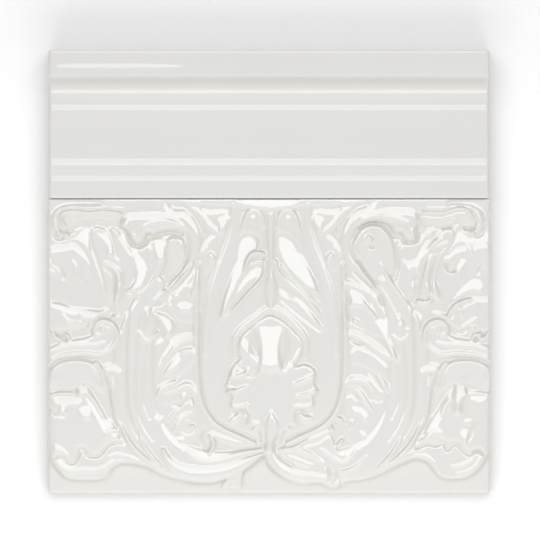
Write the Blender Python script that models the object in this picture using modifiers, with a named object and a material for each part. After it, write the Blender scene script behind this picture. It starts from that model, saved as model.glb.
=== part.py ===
"""Dado rail tile: a moulded rail tile butted over an embossed frieze tile.

Both pieces lie on their flat backs. X runs along the rail, +Y points to the rail's top edge
and +Z is the glazed face. The origin is under the middle of the pair, on the back plane.
Lengths are metres; the relief is drawn in millimetres, from the middle of the frieze's lower
edge, and scaled once.
"""

from math import cos, radians, sin

import bmesh
import bpy
import numpy as np

MM = 0.001

# Driving sizes, in metres
MODULE = 0.1524
JOINT_GAP = 0.0004
RAIL_HEIGHT = 0.0508
RAIL_LENGTH = 0.1516
FRIEZE_LENGTH = MODULE
FRIEZE_HEIGHT = MODULE - RAIL_HEIGHT - JOINT_GAP
GROUND_THICKNESS = 0.0085
EDGE_ARRIS = 0.0008
END_ARRIS = 0.0006

# Rail section, in metres: distances down from the top edge, and thicknesses above the back
NOSE_RADIUS = 0.0012
NOSE_THICKNESS = 0.0156
NOSE_END = 0.0076
QUIRK_AT = 0.0096
QUIRK_THICKNESS = 0.0134
CAVETTO_END = 0.0133
CAVETTO_THICKNESS = 0.0107
FILLET_START = 0.0144
FILLET_THICKNESS = 0.0109
FILLET_END = 0.0187
COVE_START = 0.0204
COVE_TOP_THICKNESS = 0.0114
COVE_END = 0.0372
COVE_FOOT_THICKNESS = 0.0112
COVE_DEPTH = 0.0008
BEAD_START = 0.0389
BEAD_END = 0.0430
BEAD_TOP_THICKNESS = 0.0116
BEAD_FOOT_THICKNESS = 0.0113
BEAD_CROWN = 0.0001
BAND_START = 0.0446
BAND_THICKNESS = 0.0118
LOWER_ARRIS = 0.0007

# Relief mesh
CELL_MM = 1.0
CURVE_STEP_MM = 1.0
RELIEF_FACES = 11600
WALL_MM = 1.3

# Relief strokes of the left half: (name, crest above the ground in mm, points), where each
# point is (x, y, half width), all in mm. The right half mirrors them about MIRROR_X_MM.
MIRROR_X_MM = 0.6
STROKES = (
    ("stem", 3.0, ((-3.0, 14.8, 2.2), (-9.0, 12.0, 3.2), (-16.0, 9.6, 4.4), (-25.0, 8.8, 5.0),
                   (-33.0, 10.5, 5.4), (-39.5, 16.0, 5.8), (-43.0, 25.0, 6.0),
                   (-44.6, 37.0, 5.6), (-45.0, 49.0, 4.8), (-44.6, 59.0, 3.8),
                   (-42.5, 67.0, 3.2), (-38.0, 73.5, 2.4))),
    ("top scroll", 3.6, ((-34.5, 69.5, 1.2), (-30.5, 74.5, 2.0), (-26.8, 80.5, 2.4),
                         (-25.2, 86.5, 2.6), (-26.2, 91.5, 3.0), (-30.0, 96.0, 3.2),
                         (-37.0, 98.2, 2.6), (-47.0, 98.2, 2.2), (-58.0, 98.6, 2.0),
                         (-68.0, 98.8, 1.8), (-73.0, 96.5, 1.8), (-74.2, 92.0, 1.6),
                         (-72.0, 89.2, 1.8))),
    ("scroll lip", 3.4, ((-29.8, 91.6, 2.0), (-36.0, 92.6, 2.8), (-42.0, 91.6, 3.2),
                         (-46.2, 89.4, 3.2), (-49.6, 92.4, 2.6))),
    ("leaf cap", 2.6, ((-51.0, 94.8, 2.4), (-59.0, 94.6, 2.8), (-66.0, 93.4, 3.2),
                       (-70.5, 92.0, 2.6))),
    ("outer lobe", 2.4, ((-72.0, 84.0, 3.0), (-66.5, 78.5, 6.2), (-63.5, 72.0, 6.6),
                         (-63.0, 67.0, 6.0))),
    ("middle lobe", 2.4, ((-57.8, 88.5, 2.4), (-55.0, 83.0, 3.2), (-52.6, 76.0, 3.2),
                          (-52.6, 69.0, 2.6), (-53.5, 63.5, 1.8))),
    ("inner lobe", 2.4, ((-51.5, 89.5, 1.8), (-48.6, 83.5, 2.4), (-47.0, 77.0, 2.2),
                         (-47.2, 71.5, 1.8))),
    ("sheath lobe", 2.8, ((-40.5, 86.0, 3.4), (-40.2, 80.0, 3.6), (-41.6, 74.0, 2.6),
                          (-44.5, 69.0, 1.8))),
    ("volute", 3.2, ((-75.4, 46.0, 1.6), (-70.0, 48.8, 2.4), (-62.0, 49.8, 2.8),
                     (-55.8, 50.6, 2.8), (-52.6, 54.4, 2.4), (-54.4, 59.0, 2.2),
                     (-58.6, 59.6, 1.6), (-60.0, 56.2, 1.4))),
    ("upper leaf", 2.4, ((-75.2, 60.5, 2.2), (-69.0, 58.0, 3.0), (-62.5, 57.6, 2.6))),
    ("arch rim", 2.8, ((-75.0, 37.0, 1.2), (-73.8, 42.4, 1.8), (-69.5, 45.0, 2.0),
                       (-64.0, 45.2, 2.2), (-59.6, 42.8, 2.2), (-56.8, 38.0, 1.8),
                       (-56.2, 33.5, 1.0))),
    ("leaf blade", 2.0, ((-66.0, 36.5, 4.0), (-68.0, 30.0, 6.5), (-66.5, 22.0, 7.5),
                         (-60.0, 17.0, 4.5), (-53.0, 19.6, 3.0))),
    ("rolled rim", 3.4, ((-38.0, 9.4, 2.6), (-45.0, 12.0, 2.2), (-51.0, 13.6, 3.6),
                         (-57.5, 10.6, 4.4), (-64.5, 9.2, 4.6), (-70.8, 9.6, 3.2),
                         (-74.2, 13.0, 1.6), (-75.0, 19.0, 1.0))),
    ("lyre rim", 2.8, ((-12.2, 99.2, 1.6), (-12.6, 91.0, 1.6), (-15.2, 83.5, 1.8),
                       (-18.2, 77.0, 2.0), (-21.0, 68.0, 2.2), (-22.4, 58.0, 2.2),
                       (-22.8, 46.0, 2.2), (-22.0, 35.5, 2.2), (-19.6, 28.0, 2.2),
                       (-14.0, 23.2, 2.2), (-7.0, 20.2, 2.2), (-1.5, 16.6, 1.8))),
    ("hooked leaf", 2.4, ((-16.0, 97.0, 3.0), (-20.5, 93.5, 3.0), (-19.4, 87.5, 2.4),
                          (-19.6, 81.0, 2.4))),
    ("upper blade", 2.8, ((-6.4, 94.5, 2.4), (-8.0, 86.0, 3.0), (-11.4, 77.0, 2.6),
                          (-14.6, 68.0, 1.8), (-16.6, 60.5, 0.9))),
    ("lower blade", 2.6, ((-3.4, 79.5, 1.8), (-7.0, 75.5, 2.2), (-11.0, 69.5, 2.4),
                          (-15.6, 61.5, 1.2))),
    ("acanthus spine", 2.6, ((-30.5, 70.0, 2.0), (-33.5, 62.0, 3.4), (-37.0, 54.0, 3.2),
                             (-38.0, 46.0, 2.4), (-37.6, 38.0, 2.0))),
    ("acanthus tip", 2.8, ((-35.5, 47.5, 1.6), (-31.5, 52.4, 2.4), (-27.2, 53.6, 1.8))),
    ("acanthus second tip", 2.6, ((-36.0, 42.0, 1.4), (-31.0, 46.4, 2.6), (-27.2, 46.8, 2.2))),
    ("acanthus third tip", 2.8, ((-37.0, 32.5, 1.6), (-32.0, 35.0, 2.4), (-27.6, 35.4, 2.4),
                                 (-27.0, 30.5, 2.2), (-31.5, 28.0, 1.6))),
    ("acanthus root", 2.4, ((-34.0, 22.0, 1.6), (-30.6, 25.4, 2.0), (-26.6, 23.0, 1.8))),
    ("bud", 3.0, ((-42.0, 62.5, 2.4), (-41.8, 57.0, 3.2), (-41.6, 53.5, 1.6))),
    ("horn leaf", 2.4, ((-20.5, 18.0, 2.4), (-13.5, 16.8, 2.6), (-6.5, 15.2, 1.4))),
    ("palmette fan", 3.2, ((-7.5, 52.6, 3.4), (-5.0, 47.5, 3.2), (-3.0, 42.0, 3.4))),
    ("palmette upper lobe", 3.2, ((-11.0, 41.6, 3.2), (-7.6, 40.6, 3.4), (-3.0, 38.0, 4.0))),
    ("palmette middle lobe", 3.2, ((-12.2, 36.2, 3.0), (-8.0, 35.6, 3.2), (-3.0, 34.4, 4.0))),
    ("palmette lower lobe", 3.2, ((-10.6, 30.6, 2.6), (-6.6, 31.0, 3.0), (-2.6, 30.6, 4.0))),
    ("palmette foot", 2.8, ((-12.4, 24.6, 2.4), (-7.4, 24.8, 2.4), (-3.0, 24.2, 3.0))),
)

# Strokes on the middle line, which have no mirror image
MIDDLE_STROKES = (
    ("upright", 2.6, ((0.6, 99.0, 1.6), (0.6, 88.0, 1.8), (0.6, 76.0, 1.8), (0.6, 66.0, 1.6))),
    ("palmette hood", 3.2, ((-10.8, 54.4, 1.6), (-7.0, 58.4, 1.8), (-3.0, 61.8, 1.8),
                            (1.0, 62.8, 1.8), (5.0, 61.4, 1.8), (9.0, 58.0, 1.8),
                            (12.2, 54.0, 1.6))),
    ("palmette middle", 3.6, ((0.6, 58.0, 3.4), (0.6, 48.0, 3.6), (0.6, 36.0, 4.4),
                              (0.6, 24.0, 3.0), (0.6, 15.0, 2.0))),
    ("knot", 3.4, ((0.2, 22.0, 2.4), (-0.4, 15.0, 2.6), (3.4, 9.0, 2.6), (9.5, 5.8, 2.6),
                   (16.0, 5.2, 2.2), (22.0, 4.6, 2.4))),
)


def clear_scene():
    """Remove every object that is in the scene."""
    for item in list(bpy.data.objects):
        bpy.data.objects.remove(item, do_unlink=True)


def glazed_ceramic(name, color):
    """White glazed earthenware: a pale Principled surface with a low roughness."""
    material = bpy.data.materials.new(name)
    material.use_nodes = True
    shader = material.node_tree.nodes["Principled BSDF"]
    shader.inputs["Base Color"].default_value = (*color, 1.0)
    shader.inputs["Roughness"].default_value = 0.12
    shader.inputs["Metallic"].default_value = 0.0
    return material


def add_object(name, mesh, material, collection):
    """Link a finished mesh to the scene as one named object."""
    mesh.materials.append(material)
    item = bpy.data.objects.new(name, mesh)
    collection.objects.link(item)
    return item


def arc(center, radius, start, end, steps):
    """Points on an ellipse about center, from start to end in degrees, both ends included."""
    turns = [radians(start + (end - start) * i / steps) for i in range(steps + 1)]
    return [(center[0] + radius[0] * cos(t), center[1] + radius[1] * sin(t)) for t in turns]


def sag(start, end, depth, steps):
    """Points from start to end on a parabola that leaves the chord by depth at its middle."""
    points = []
    for i in range(steps + 1):
        u = i / steps
        off = 4.0 * depth * u * (1.0 - u)
        points.append((start[0] + (end[0] - start[0]) * u,
                       start[1] + (end[1] - start[1]) * u + off))
    return points


def rail_outline():
    """The rail's section as (down from the top edge, thickness), back corners included."""
    outline = [(0.0, 0.0), (0.0, NOSE_THICKNESS - NOSE_RADIUS)]
    outline += arc((NOSE_RADIUS, NOSE_THICKNESS - NOSE_RADIUS), (NOSE_RADIUS, NOSE_RADIUS),
                   180.0, 90.0, 5)[1:]
    outline += arc((NOSE_END, QUIRK_THICKNESS), (QUIRK_AT - NOSE_END,
                   NOSE_THICKNESS - QUIRK_THICKNESS), 90.0, 15.0, 6)
    outline += arc((CAVETTO_END, QUIRK_THICKNESS), (CAVETTO_END - QUIRK_AT,
                   QUIRK_THICKNESS - CAVETTO_THICKNESS), 195.0, 270.0, 7)
    outline.append((FILLET_START, FILLET_THICKNESS))
    outline.append((FILLET_END, FILLET_THICKNESS))
    outline += sag((COVE_START, COVE_TOP_THICKNESS), (COVE_END, COVE_FOOT_THICKNESS),
                   -COVE_DEPTH, 14)
    outline += sag((BEAD_START, BEAD_TOP_THICKNESS), (BEAD_END, BEAD_FOOT_THICKNESS),
                   BEAD_CROWN, 6)
    outline.append((BAND_START, BAND_THICKNESS))
    outline.append((RAIL_HEIGHT - LOWER_ARRIS, BAND_THICKNESS))
    outline += arc((RAIL_HEIGHT - LOWER_ARRIS, BAND_THICKNESS - LOWER_ARRIS),
                   (LOWER_ARRIS, LOWER_ARRIS), 90.0, 0.0, 4)[1:]
    outline.append((RAIL_HEIGHT, 0.0))
    return outline


def rail_mesh():
    """Extrude the rail's section along X, centred, with its top edge at +Y."""
    top_edge = MODULE / 2.0
    body = bmesh.new()
    corners = [body.verts.new((-RAIL_LENGTH / 2.0, top_edge - down, thick))
               for down, thick in rail_outline()]
    face = body.faces.new(corners)
    swept = bmesh.ops.extrude_face_region(body, geom=[face])["geom"]
    moved = [part for part in swept if isinstance(part, bmesh.types.BMVert)]
    bmesh.ops.translate(body, verts=moved, vec=(RAIL_LENGTH, 0.0, 0.0))
    bmesh.ops.recalc_face_normals(body, faces=body.faces[:])
    mesh = bpy.data.meshes.new("dado_rail_tile")
    body.to_mesh(mesh)
    body.free()
    return mesh


def smooth_curve(points):
    """Catmull-Rom curve through the points, each row (x, y, half width), about evenly cut."""
    knots = np.array(points, dtype=float)
    padded = np.vstack([2.0 * knots[0] - knots[1], knots, 2.0 * knots[-1] - knots[-2]])
    pieces = []
    for i in range(len(knots) - 1):
        p0, p1, p2, p3 = padded[i:i + 4]
        count = max(2, int(np.hypot(*(p2 - p1)[:2]) / CURVE_STEP_MM))
        u = (np.arange(count) / count)[:, None]
        pieces.append(0.5 * (2.0 * p1 + (p2 - p0) * u
                             + (2.0 * p0 - 5.0 * p1 + 4.0 * p2 - p3) * u ** 2
                             + (3.0 * p1 - p0 - 3.0 * p2 + p3) * u ** 3))
    return np.vstack(pieces + [knots[-1:]])


def stroke_height(x, y, crest, points):
    """A rounded bank along a curve: crest * sqrt(1 - (distance / half width) squared)."""
    curve = smooth_curve(points)
    ax, ay, aw = curve[:-1, 0], curve[:-1, 1], curve[:-1, 2]
    dx, dy, dw = np.diff(curve, axis=0).T
    square = np.maximum(dx * dx + dy * dy, 1e-9)
    u = ((x[:, None] - ax) * dx + (y[:, None] - ay) * dy) / square
    u = np.clip(u, 0.0, 1.0)
    gap = np.hypot(x[:, None] - ax - u * dx, y[:, None] - ay - u * dy)
    ratio = np.min(gap / (aw + u * dw), axis=1)
    return crest * np.sqrt(np.clip(1.0 - ratio ** 2, 0.0, 1.0))


def edge_fade(x, y):
    """One inside the frieze, falling to zero over WALL_MM at its edges."""
    half = FRIEZE_LENGTH / MM / 2.0
    height = FRIEZE_HEIGHT / MM
    inside = np.minimum(half - np.abs(x), np.minimum(y, height - y))
    return np.clip(inside / WALL_MM, 0.0, 1.0)


def relief_height(x, y):
    """Height of the relief above the ground, in mm: the highest stroke at each point."""
    relief = np.zeros_like(x)
    for _, crest, points in STROKES:
        relief = np.maximum(relief, stroke_height(x, y, crest, points))
        mirrored = 2.0 * MIRROR_X_MM - x
        relief = np.maximum(relief, stroke_height(mirrored, y, crest, points))
    for _, crest, points in MIDDLE_STROKES:
        relief = np.maximum(relief, stroke_height(x, y, crest, points))
    return relief * edge_fade(x, y)


def frieze_mesh():
    """A grid raised by the relief, its border drawn down to a flat back."""
    length = FRIEZE_LENGTH / MM
    height = FRIEZE_HEIGHT / MM
    across = round(length / CELL_MM)
    along = round(height / CELL_MM)
    body = bmesh.new()
    bmesh.ops.create_grid(body, x_segments=across, y_segments=along, size=0.5)
    flat = np.array([vert.co[:2] for vert in body.verts])
    x = flat[:, 0] * length
    y = (flat[:, 1] + 0.5) * height
    border = edge_fade(x, y) <= 0.001
    top = GROUND_THICKNESS / MM + relief_height(x, y) - border * EDGE_ARRIS / MM
    lower_edge = -MODULE / 2.0
    for vert, vx, vy, vz in zip(body.verts, x, y, top):
        vert.co = (vx * MM, lower_edge + vy * MM, vz * MM)
    rim = [edge for edge in body.edges if edge.is_boundary]
    skirt = bmesh.ops.extrude_edge_only(body, edges=rim)["geom"]
    for part in skirt:
        if isinstance(part, bmesh.types.BMVert):
            part.co.z = 0.0
    bottom = [part for part in skirt if isinstance(part, bmesh.types.BMEdge)]
    bmesh.ops.contextual_create(body, geom=bottom)
    bmesh.ops.recalc_face_normals(body, faces=body.faces[:])
    bmesh.ops.triangulate(body, faces=body.faces[:])
    mesh = bpy.data.meshes.new("embossed_frieze_tile")
    body.to_mesh(mesh)
    body.free()
    return mesh


def build_rail(collection):
    """The rail tile, with its end arrises rounded."""
    material = glazed_ceramic("rail glaze", (0.86, 0.86, 0.84))
    rail = add_object("dado_rail_tile", rail_mesh(), material, collection)
    bevel = rail.modifiers.new("end arrises", "BEVEL")
    bevel.width = END_ARRIS
    bevel.segments = 2
    bevel.limit_method = "ANGLE"
    bevel.angle_limit = radians(80.0)
    return rail


def build_frieze(collection):
    """The frieze tile, thinned to the faces that its relief needs."""
    material = glazed_ceramic("frieze glaze", (0.85, 0.85, 0.83))
    frieze = add_object("embossed_frieze_tile", frieze_mesh(), material, collection)
    thin = frieze.modifiers.new("fewer faces", "DECIMATE")
    thin.ratio = RELIEF_FACES / len(frieze.data.polygons)
    return frieze


def main():
    clear_scene()
    collection = bpy.data.collections.new("dado_rail_tile_pair")
    bpy.context.scene.collection.children.link(collection)
    build_rail(collection)
    build_frieze(collection)


main()
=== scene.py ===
"""Looks of the dado rail tile: the glazed rail and the embossed frieze, and their stage.

The relief is drawn in millimetres: X runs right from the middle of the frieze, and Y runs up
from its lower edge. The meshes, the lights and the camera are in metres, in the frame's axes.
"""

import bpy
import numpy as np
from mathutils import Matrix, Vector


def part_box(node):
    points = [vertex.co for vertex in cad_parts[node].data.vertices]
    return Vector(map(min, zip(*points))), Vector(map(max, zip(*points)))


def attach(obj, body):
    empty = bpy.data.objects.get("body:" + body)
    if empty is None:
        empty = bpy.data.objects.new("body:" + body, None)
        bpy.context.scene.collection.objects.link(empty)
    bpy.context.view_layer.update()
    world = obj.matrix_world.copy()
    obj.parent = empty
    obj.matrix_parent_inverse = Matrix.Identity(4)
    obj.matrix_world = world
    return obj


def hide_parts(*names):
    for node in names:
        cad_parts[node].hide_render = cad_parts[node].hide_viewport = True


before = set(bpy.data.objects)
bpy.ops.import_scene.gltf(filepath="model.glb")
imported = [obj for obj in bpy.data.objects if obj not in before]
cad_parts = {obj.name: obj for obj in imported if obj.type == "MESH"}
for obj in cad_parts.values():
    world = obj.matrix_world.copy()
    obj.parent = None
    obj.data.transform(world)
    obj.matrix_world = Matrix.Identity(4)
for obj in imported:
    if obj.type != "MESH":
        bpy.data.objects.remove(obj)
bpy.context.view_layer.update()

bl_info = {
    "name": "Dado rail tile",
    "version": (1, 0, 0),
    "blender": (4, 5, 0),
    "location": "3D View > Sidebar > Dado tile",
    "description": "Builds a glazed dado rail tile over an embossed frieze tile, with its stage",
    "category": "Add Mesh",
}

RAIL_LOW, RAIL_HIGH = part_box("dado_rail_tile")
FRIEZE_LOW, FRIEZE_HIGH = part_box("embossed_frieze_tile")
MM = 0.001

# The frieze, in mm: its levels, the middle line, a line beyond its top, and its glaze
GROUND = 8.5
MASS_LEVEL = 1.2
LEAF_FOOT = 1.35
MIRROR_X = 0.6
ABOVE = 116
FRIEZE_CELL = 0.41
# Depth of hollow that gives the full darker pooled colour, and the blur that finds the hollows: pooled
# glaze and painted shade in the creases
FRIEZE_POOL_AND_SHADE = 0.7
POOL_AND_SHADE_BLUR = 1.1
GLAZE_BLUR = 0.2
JOINT_LAP = 0.05

# The fine grid that the relief is drawn on, in mm
FINE_CELL = 0.2
CURVE_STEP = 0.5
OUTLINE_STEP = 0.6
OUTLINE_ROOM = 0.4
THINNEST = 0.05

# Shares: a stroke's window by its half width, and what the upper edges leave out of the arris
STROKE_ROOM = 1.15
FRIEZE_SHARP = 0.6
RAIL_SHARP = 0.45
WALL_SLOPE = 0.8

# The rail: distance down from its top edge, rise over the nose or the fillet, and slope, in mm
RAIL_NOSE = ((0.0, 0.0, 0.0), (8.3, 0.0, 0.0), (9.7, -2.2, -2.9), (10.5, -3.8, -1.2))
RAIL_FACE = ((13.2, 0.0, 0.0), (13.5, 0.0, 0.0), (14.1, 0.18, 0.1), (14.6, 0.2, 0.0),
             (18.6, 0.2, 0.0), (18.9, 0.24, 0.3), (20.2, 0.62, 0.3), (20.7, 0.64, -0.02),
             (28.8, 0.5, 0.0), (37.2, 0.64, 0.02), (37.4, 0.66, 0.2), (38.7, 0.94, 0.2),
             (39.3, 1.0, 0.04), (42.8, 0.78, -0.12), (43.1, 0.78, 0.2), (44.4, 1.06, 0.2),
             (44.9, 1.1, 0.0), (60.0, 1.1, 0.0))
# Depth of dip that gives the full darker pooled colour, and the blur over rows that finds the dips:
# pooled glaze and painted shade in the quirk and cove
RAIL_POOL_AND_SHADE = 1.7
RAIL_POOL_AND_SHADE_ROWS = 12.0
SWELL_LINE = 5.9
SWELL_SPREAD = 0.8
SWELL_DROP = 0.08

# Along the rail, in m: its grid's cells, and where the swell on the nose ends and fades
RAIL_CELLS = (0.0012, 0.00016)
SWELL_ENDS = (-0.0735, -0.026)
SWELL_FADES = (0.004, 0.02)

# The glaze's refraction, and in m the back's edges and the lights as spot and size
RAIL_INDEX = 1.6
FRIEZE_INDEX = 1.78
BACK_ARRIS = 0.0005
BARE_BELOW = (0.0010, 0.0016)
NORTH_LIGHT = ((0.0, 0.79, 1.73), (2.4, 1.34))
FOOT_LIGHT = ((0.0, -0.36, 0.34), (0.6, 0.3))

# The photograph in pixels, the size of a pixel in mm, and the lens that frames it from above
PHOTO_WIDTH = 540
PIXEL = 0.3448
LENS = 600.0
SENSOR = 36.0
CAMERA_SPOT = (0.00034, 0.00069)
RELIEF_PLANE = 0.002


def smooth_curve(points, step):
    """Catmull-Rom curve through the points: each stretch is a cubic whose slope at a point is
    half the way from the point before it to the point after it."""
    knots = np.array(points, dtype=float)
    padded = np.vstack([2.0 * knots[0] - knots[1], knots, 2.0 * knots[-1] - knots[-2]])
    stretches = []
    for i in range(len(knots) - 1):
        before, start, end, after = padded[i:i + 4]
        count = max(2, int(np.hypot(*(end - start)) / step))
        u = (np.arange(count) / count)[:, None]
        stretches.append(0.5 * (2.0 * start + (end - before) * u
                                + (2.0 * before - 5.0 * start + 4.0 * end - after) * u ** 2
                                + (3.0 * start - before - 3.0 * end + after) * u ** 3))
    return np.vstack(stretches + [knots[-1:]])


def closed_curve(points, step):
    """The same curve through a ring of points, without its last, doubled point."""
    ring = np.array(points, dtype=float)
    lapped = np.vstack([ring[-2:], ring, ring[:3]])
    curve = smooth_curve(lapped, step)
    first = int(np.argmin(np.hypot(*(curve - ring[0]).T)))
    rest = curve[first + 1:]
    last = int(np.argmin(np.hypot(*(rest - ring[0]).T))) + first + 1
    return curve[first:last]


def along(values, u):
    """A quadratic through three values at the start, the middle and the end of a stroke."""
    start, middle, end = np.broadcast_to(np.asarray(values, dtype=float), (3,))
    bend = 2.0 * (start + end - 2.0 * middle)
    return start + (4.0 * middle - 3.0 * start - end) * u + bend * u * u


class Relief:
    """Height of the relief above the tile's ground, in mm, on an even grid of points in mm.

    Each stroke changes only the part of the grid that it covers. With side set to -1 a stroke
    is drawn mirrored about MIRROR_X.
    """

    def __init__(self, length, height):
        self.x = np.arange(-length / 2.0, length / 2.0 + FINE_CELL, FINE_CELL)
        self.y = np.arange(0.0, height + FINE_CELL, FINE_CELL)
        self.z = np.zeros((len(self.y), len(self.x)))
        self.side = 1
        self.floor = 0.0

    def placed(self, points):
        """The points on the side that is being drawn."""
        spots = np.array(points, dtype=float)
        if self.side < 0:
            spots[:, 0] = 2.0 * MIRROR_X - spots[:, 0]
        return spots

    def window(self, low, high):
        """The rows and columns of the grid between two corners."""
        i0, i1 = np.searchsorted(self.x, (low[0], high[0]))
        j0, j1 = np.searchsorted(self.y, (low[1], high[1]))
        return slice(j0, j1), slice(i0, i1)

    def stroke(self, crest, widths, points, lean, power):
        """Height of one stroke: crest * (1 - t * t) ** power, where t is the distance from
        the curve over the half width, with its zero moved sideways by lean."""
        curve = smooth_curve(self.placed(points), CURVE_STEP)
        hops = np.diff(curve, axis=0)
        lengths = np.maximum(np.hypot(*hops.T), 1e-6)
        run = np.concatenate([[0.0], np.cumsum(lengths)]) / lengths.sum()
        widest = float(np.max(widths)) * STROKE_ROOM
        area = self.window(curve.min(axis=0) - widest, curve.max(axis=0) + widest)
        height = np.zeros_like(self.z[area])
        row0, col0 = area[0].start, area[1].start
        for start, hop, length, u0, u1 in zip(curve[:-1], hops, lengths, run[:-1], run[1:]):
            end = start + hop
            spot = self.window(np.minimum(start, end) - widest, np.maximum(start, end) + widest)
            if spot[0].start >= spot[0].stop or spot[1].start >= spot[1].stop:
                continue
            dx = self.x[spot[1]][None, :] - start[0]
            dy = self.y[spot[0]][:, None] - start[1]
            u = np.clip((dx * hop[0] + dy * hop[1]) / length ** 2, 0.0, 1.0)
            aside_x = dx - u * hop[0]
            aside_y = dy - u * hop[1]
            part = u0 + (u1 - u0) * u
            ratio = np.hypot(aside_x, aside_y) / np.maximum(along(widths, part), THINNEST)
            if lean:
                left = np.where(hop[0] * aside_y - hop[1] * aside_x > 0.0, 1.0, -1.0)
                moved = left * ratio * self.side - lean
                ratio = np.abs(moved) / np.where(moved > 0.0, 1.0 - lean, 1.0 + lean)
            bank = along(crest, part) * np.clip(1.0 - ratio ** 2, 0.0, 1.0) ** power
            rows = slice(spot[0].start - row0, spot[0].stop - row0)
            cols = slice(spot[1].start - col0, spot[1].stop - col0)
            height[rows, cols] = np.maximum(height[rows, cols], bank)
        return area, height

    def bank(self, crest, widths, *points, lean=0.0, power=0.7):
        """A raised stroke; where it meets other forms, the higher one shows."""
        area, height = self.stroke(1.0, widths, points, lean, power)
        height = np.where(height > 0.0, self.floor + (crest - self.floor) * height, 0.0)
        self.z[area] = np.maximum(self.z[area], height)

    def lobe(self, crest, widths, *points):
        """A rounded bank whose crest lies towards one side, as on the tips of leaves."""
        self.bank(crest, widths, *points, lean=-0.5, power=1.0)

    def raise_by(self, crest, widths, *points, lean=0.0, power=1.2):
        """A stroke laid on whatever is already there."""
        area, height = self.stroke(crest, widths, points, lean, power)
        self.z[area] += height

    def groove(self, depth, widths, *points, lean=0.0, power=1.5):
        """A stroke cut into whatever is already there, no deeper than the ground."""
        area, height = self.stroke(depth, widths, points, lean, power)
        self.z[area] = np.maximum(self.z[area] - height, np.minimum(self.z[area], 0.0))

    def inside_outline(self, points):
        """The part of the grid round a closed outline: which points lie inside it, how far
        they are from it, and how much of that way runs north, from -1 to 1."""
        outline = closed_curve(self.placed(points), OUTLINE_STEP)
        area = self.window(outline.min(axis=0) - OUTLINE_ROOM, outline.max(axis=0) + OUTLINE_ROOM)
        x = self.x[area[1]][None, :]
        y = self.y[area[0]][:, None]
        gap = np.full(self.z[area].shape, 1e3)
        north = np.zeros(gap.shape)
        inside = np.zeros(gap.shape, dtype=bool)
        for start, end in zip(outline, np.roll(outline, -1, axis=0)):
            hop = end - start
            u = np.clip(((x - start[0]) * hop[0] + (y - start[1]) * hop[1])
                        / max(hop @ hop, 1e-9), 0.0, 1.0)
            off_y = y - start[1] - u * hop[1]
            reach = np.hypot(x - start[0] - u * hop[0], off_y)
            north = np.where(reach < gap, off_y / np.maximum(reach, 1e-6), north)
            gap = np.minimum(gap, reach)
            if hop[1]:
                crosses = (start[1] > y) != (end[1] > y)
                inside ^= crosses & (x < start[0] + hop[0] * (y - start[1]) / hop[1])
        return area, x, y, inside, gap, north

    def slanted(self, rim, start, end, points, lean):
        """The top of a slanted form inside a closed outline, and its share of the height.

        The top rises evenly from start to end, each given as (x, y, height). The share grows
        from 0 at the outline to 1 on a parabola over the width rim, which lean makes wider on
        the north side than on the south."""
        area, x, y, inside, gap, north = self.inside_outline(points)
        low = self.placed([start[:2]])[0]
        way = self.placed([end[:2]])[0] - low
        u = np.clip(((x - low[0]) * way[0] + (y - low[1]) * way[1]) / (way @ way), 0.0, 1.0)
        top = start[2] + (end[2] - start[2]) * u
        climb = np.clip(gap / (rim * (1.0 - lean * north)), 0.0, 1.0)
        return area, inside, top, 1.0 - (1.0 - climb) ** 2

    def plate(self, rim, start, end, *points, lean=0.5):
        """A slanted form that stands on the floor; the higher of it and the rest shows."""
        area, inside, top, share = self.slanted(rim, start, end, points, lean)
        floor = np.minimum(self.floor, top)
        height = floor + (top - floor) * share
        self.z[area] = np.maximum(self.z[area], np.where(inside, height, 0.0))

    def leaf(self, level, rim, *points, lean=0.5):
        """A plate with a level top."""
        self.plate(rim, (0.0, 1.0, level), (0.0, 0.0, level), *points, lean=lean)

    def facet(self, rim, start, end, *points, lean=0.2):
        """A slanted face laid into what is there, so that it sinks in at one end and stands
        out at the other."""
        area, inside, top, share = self.slanted(rim, start, end, points, lean)
        self.z[area] += (top - self.z[area]) * np.where(inside, share, 0.0)

    def ramp(self, top, slope, fall, *points):
        """A slanted patch laid on what is there, inside a closed outline. From the outline's
        north side it climbs southwards by slope per mm to top, and near the south side it
        falls by fall per mm; its sides are walls."""
        area, _, _, inside, gap, _ = self.inside_outline(points)
        rows = np.arange(inside.shape[0])[:, None]
        south_end = np.maximum.accumulate(np.where(inside, -1, rows), axis=0)
        north_end = np.minimum.accumulate(np.where(inside, len(rows), rows)[::-1], axis=0)[::-1]
        climb = slope * FINE_CELL * (north_end - rows)
        drop = fall * FINE_CELL * (rows - south_end)
        height = np.minimum(np.minimum(climb, drop), np.minimum(WALL_SLOPE * gap, top))
        self.z[area] += np.where(inside, height, 0.0)


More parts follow.
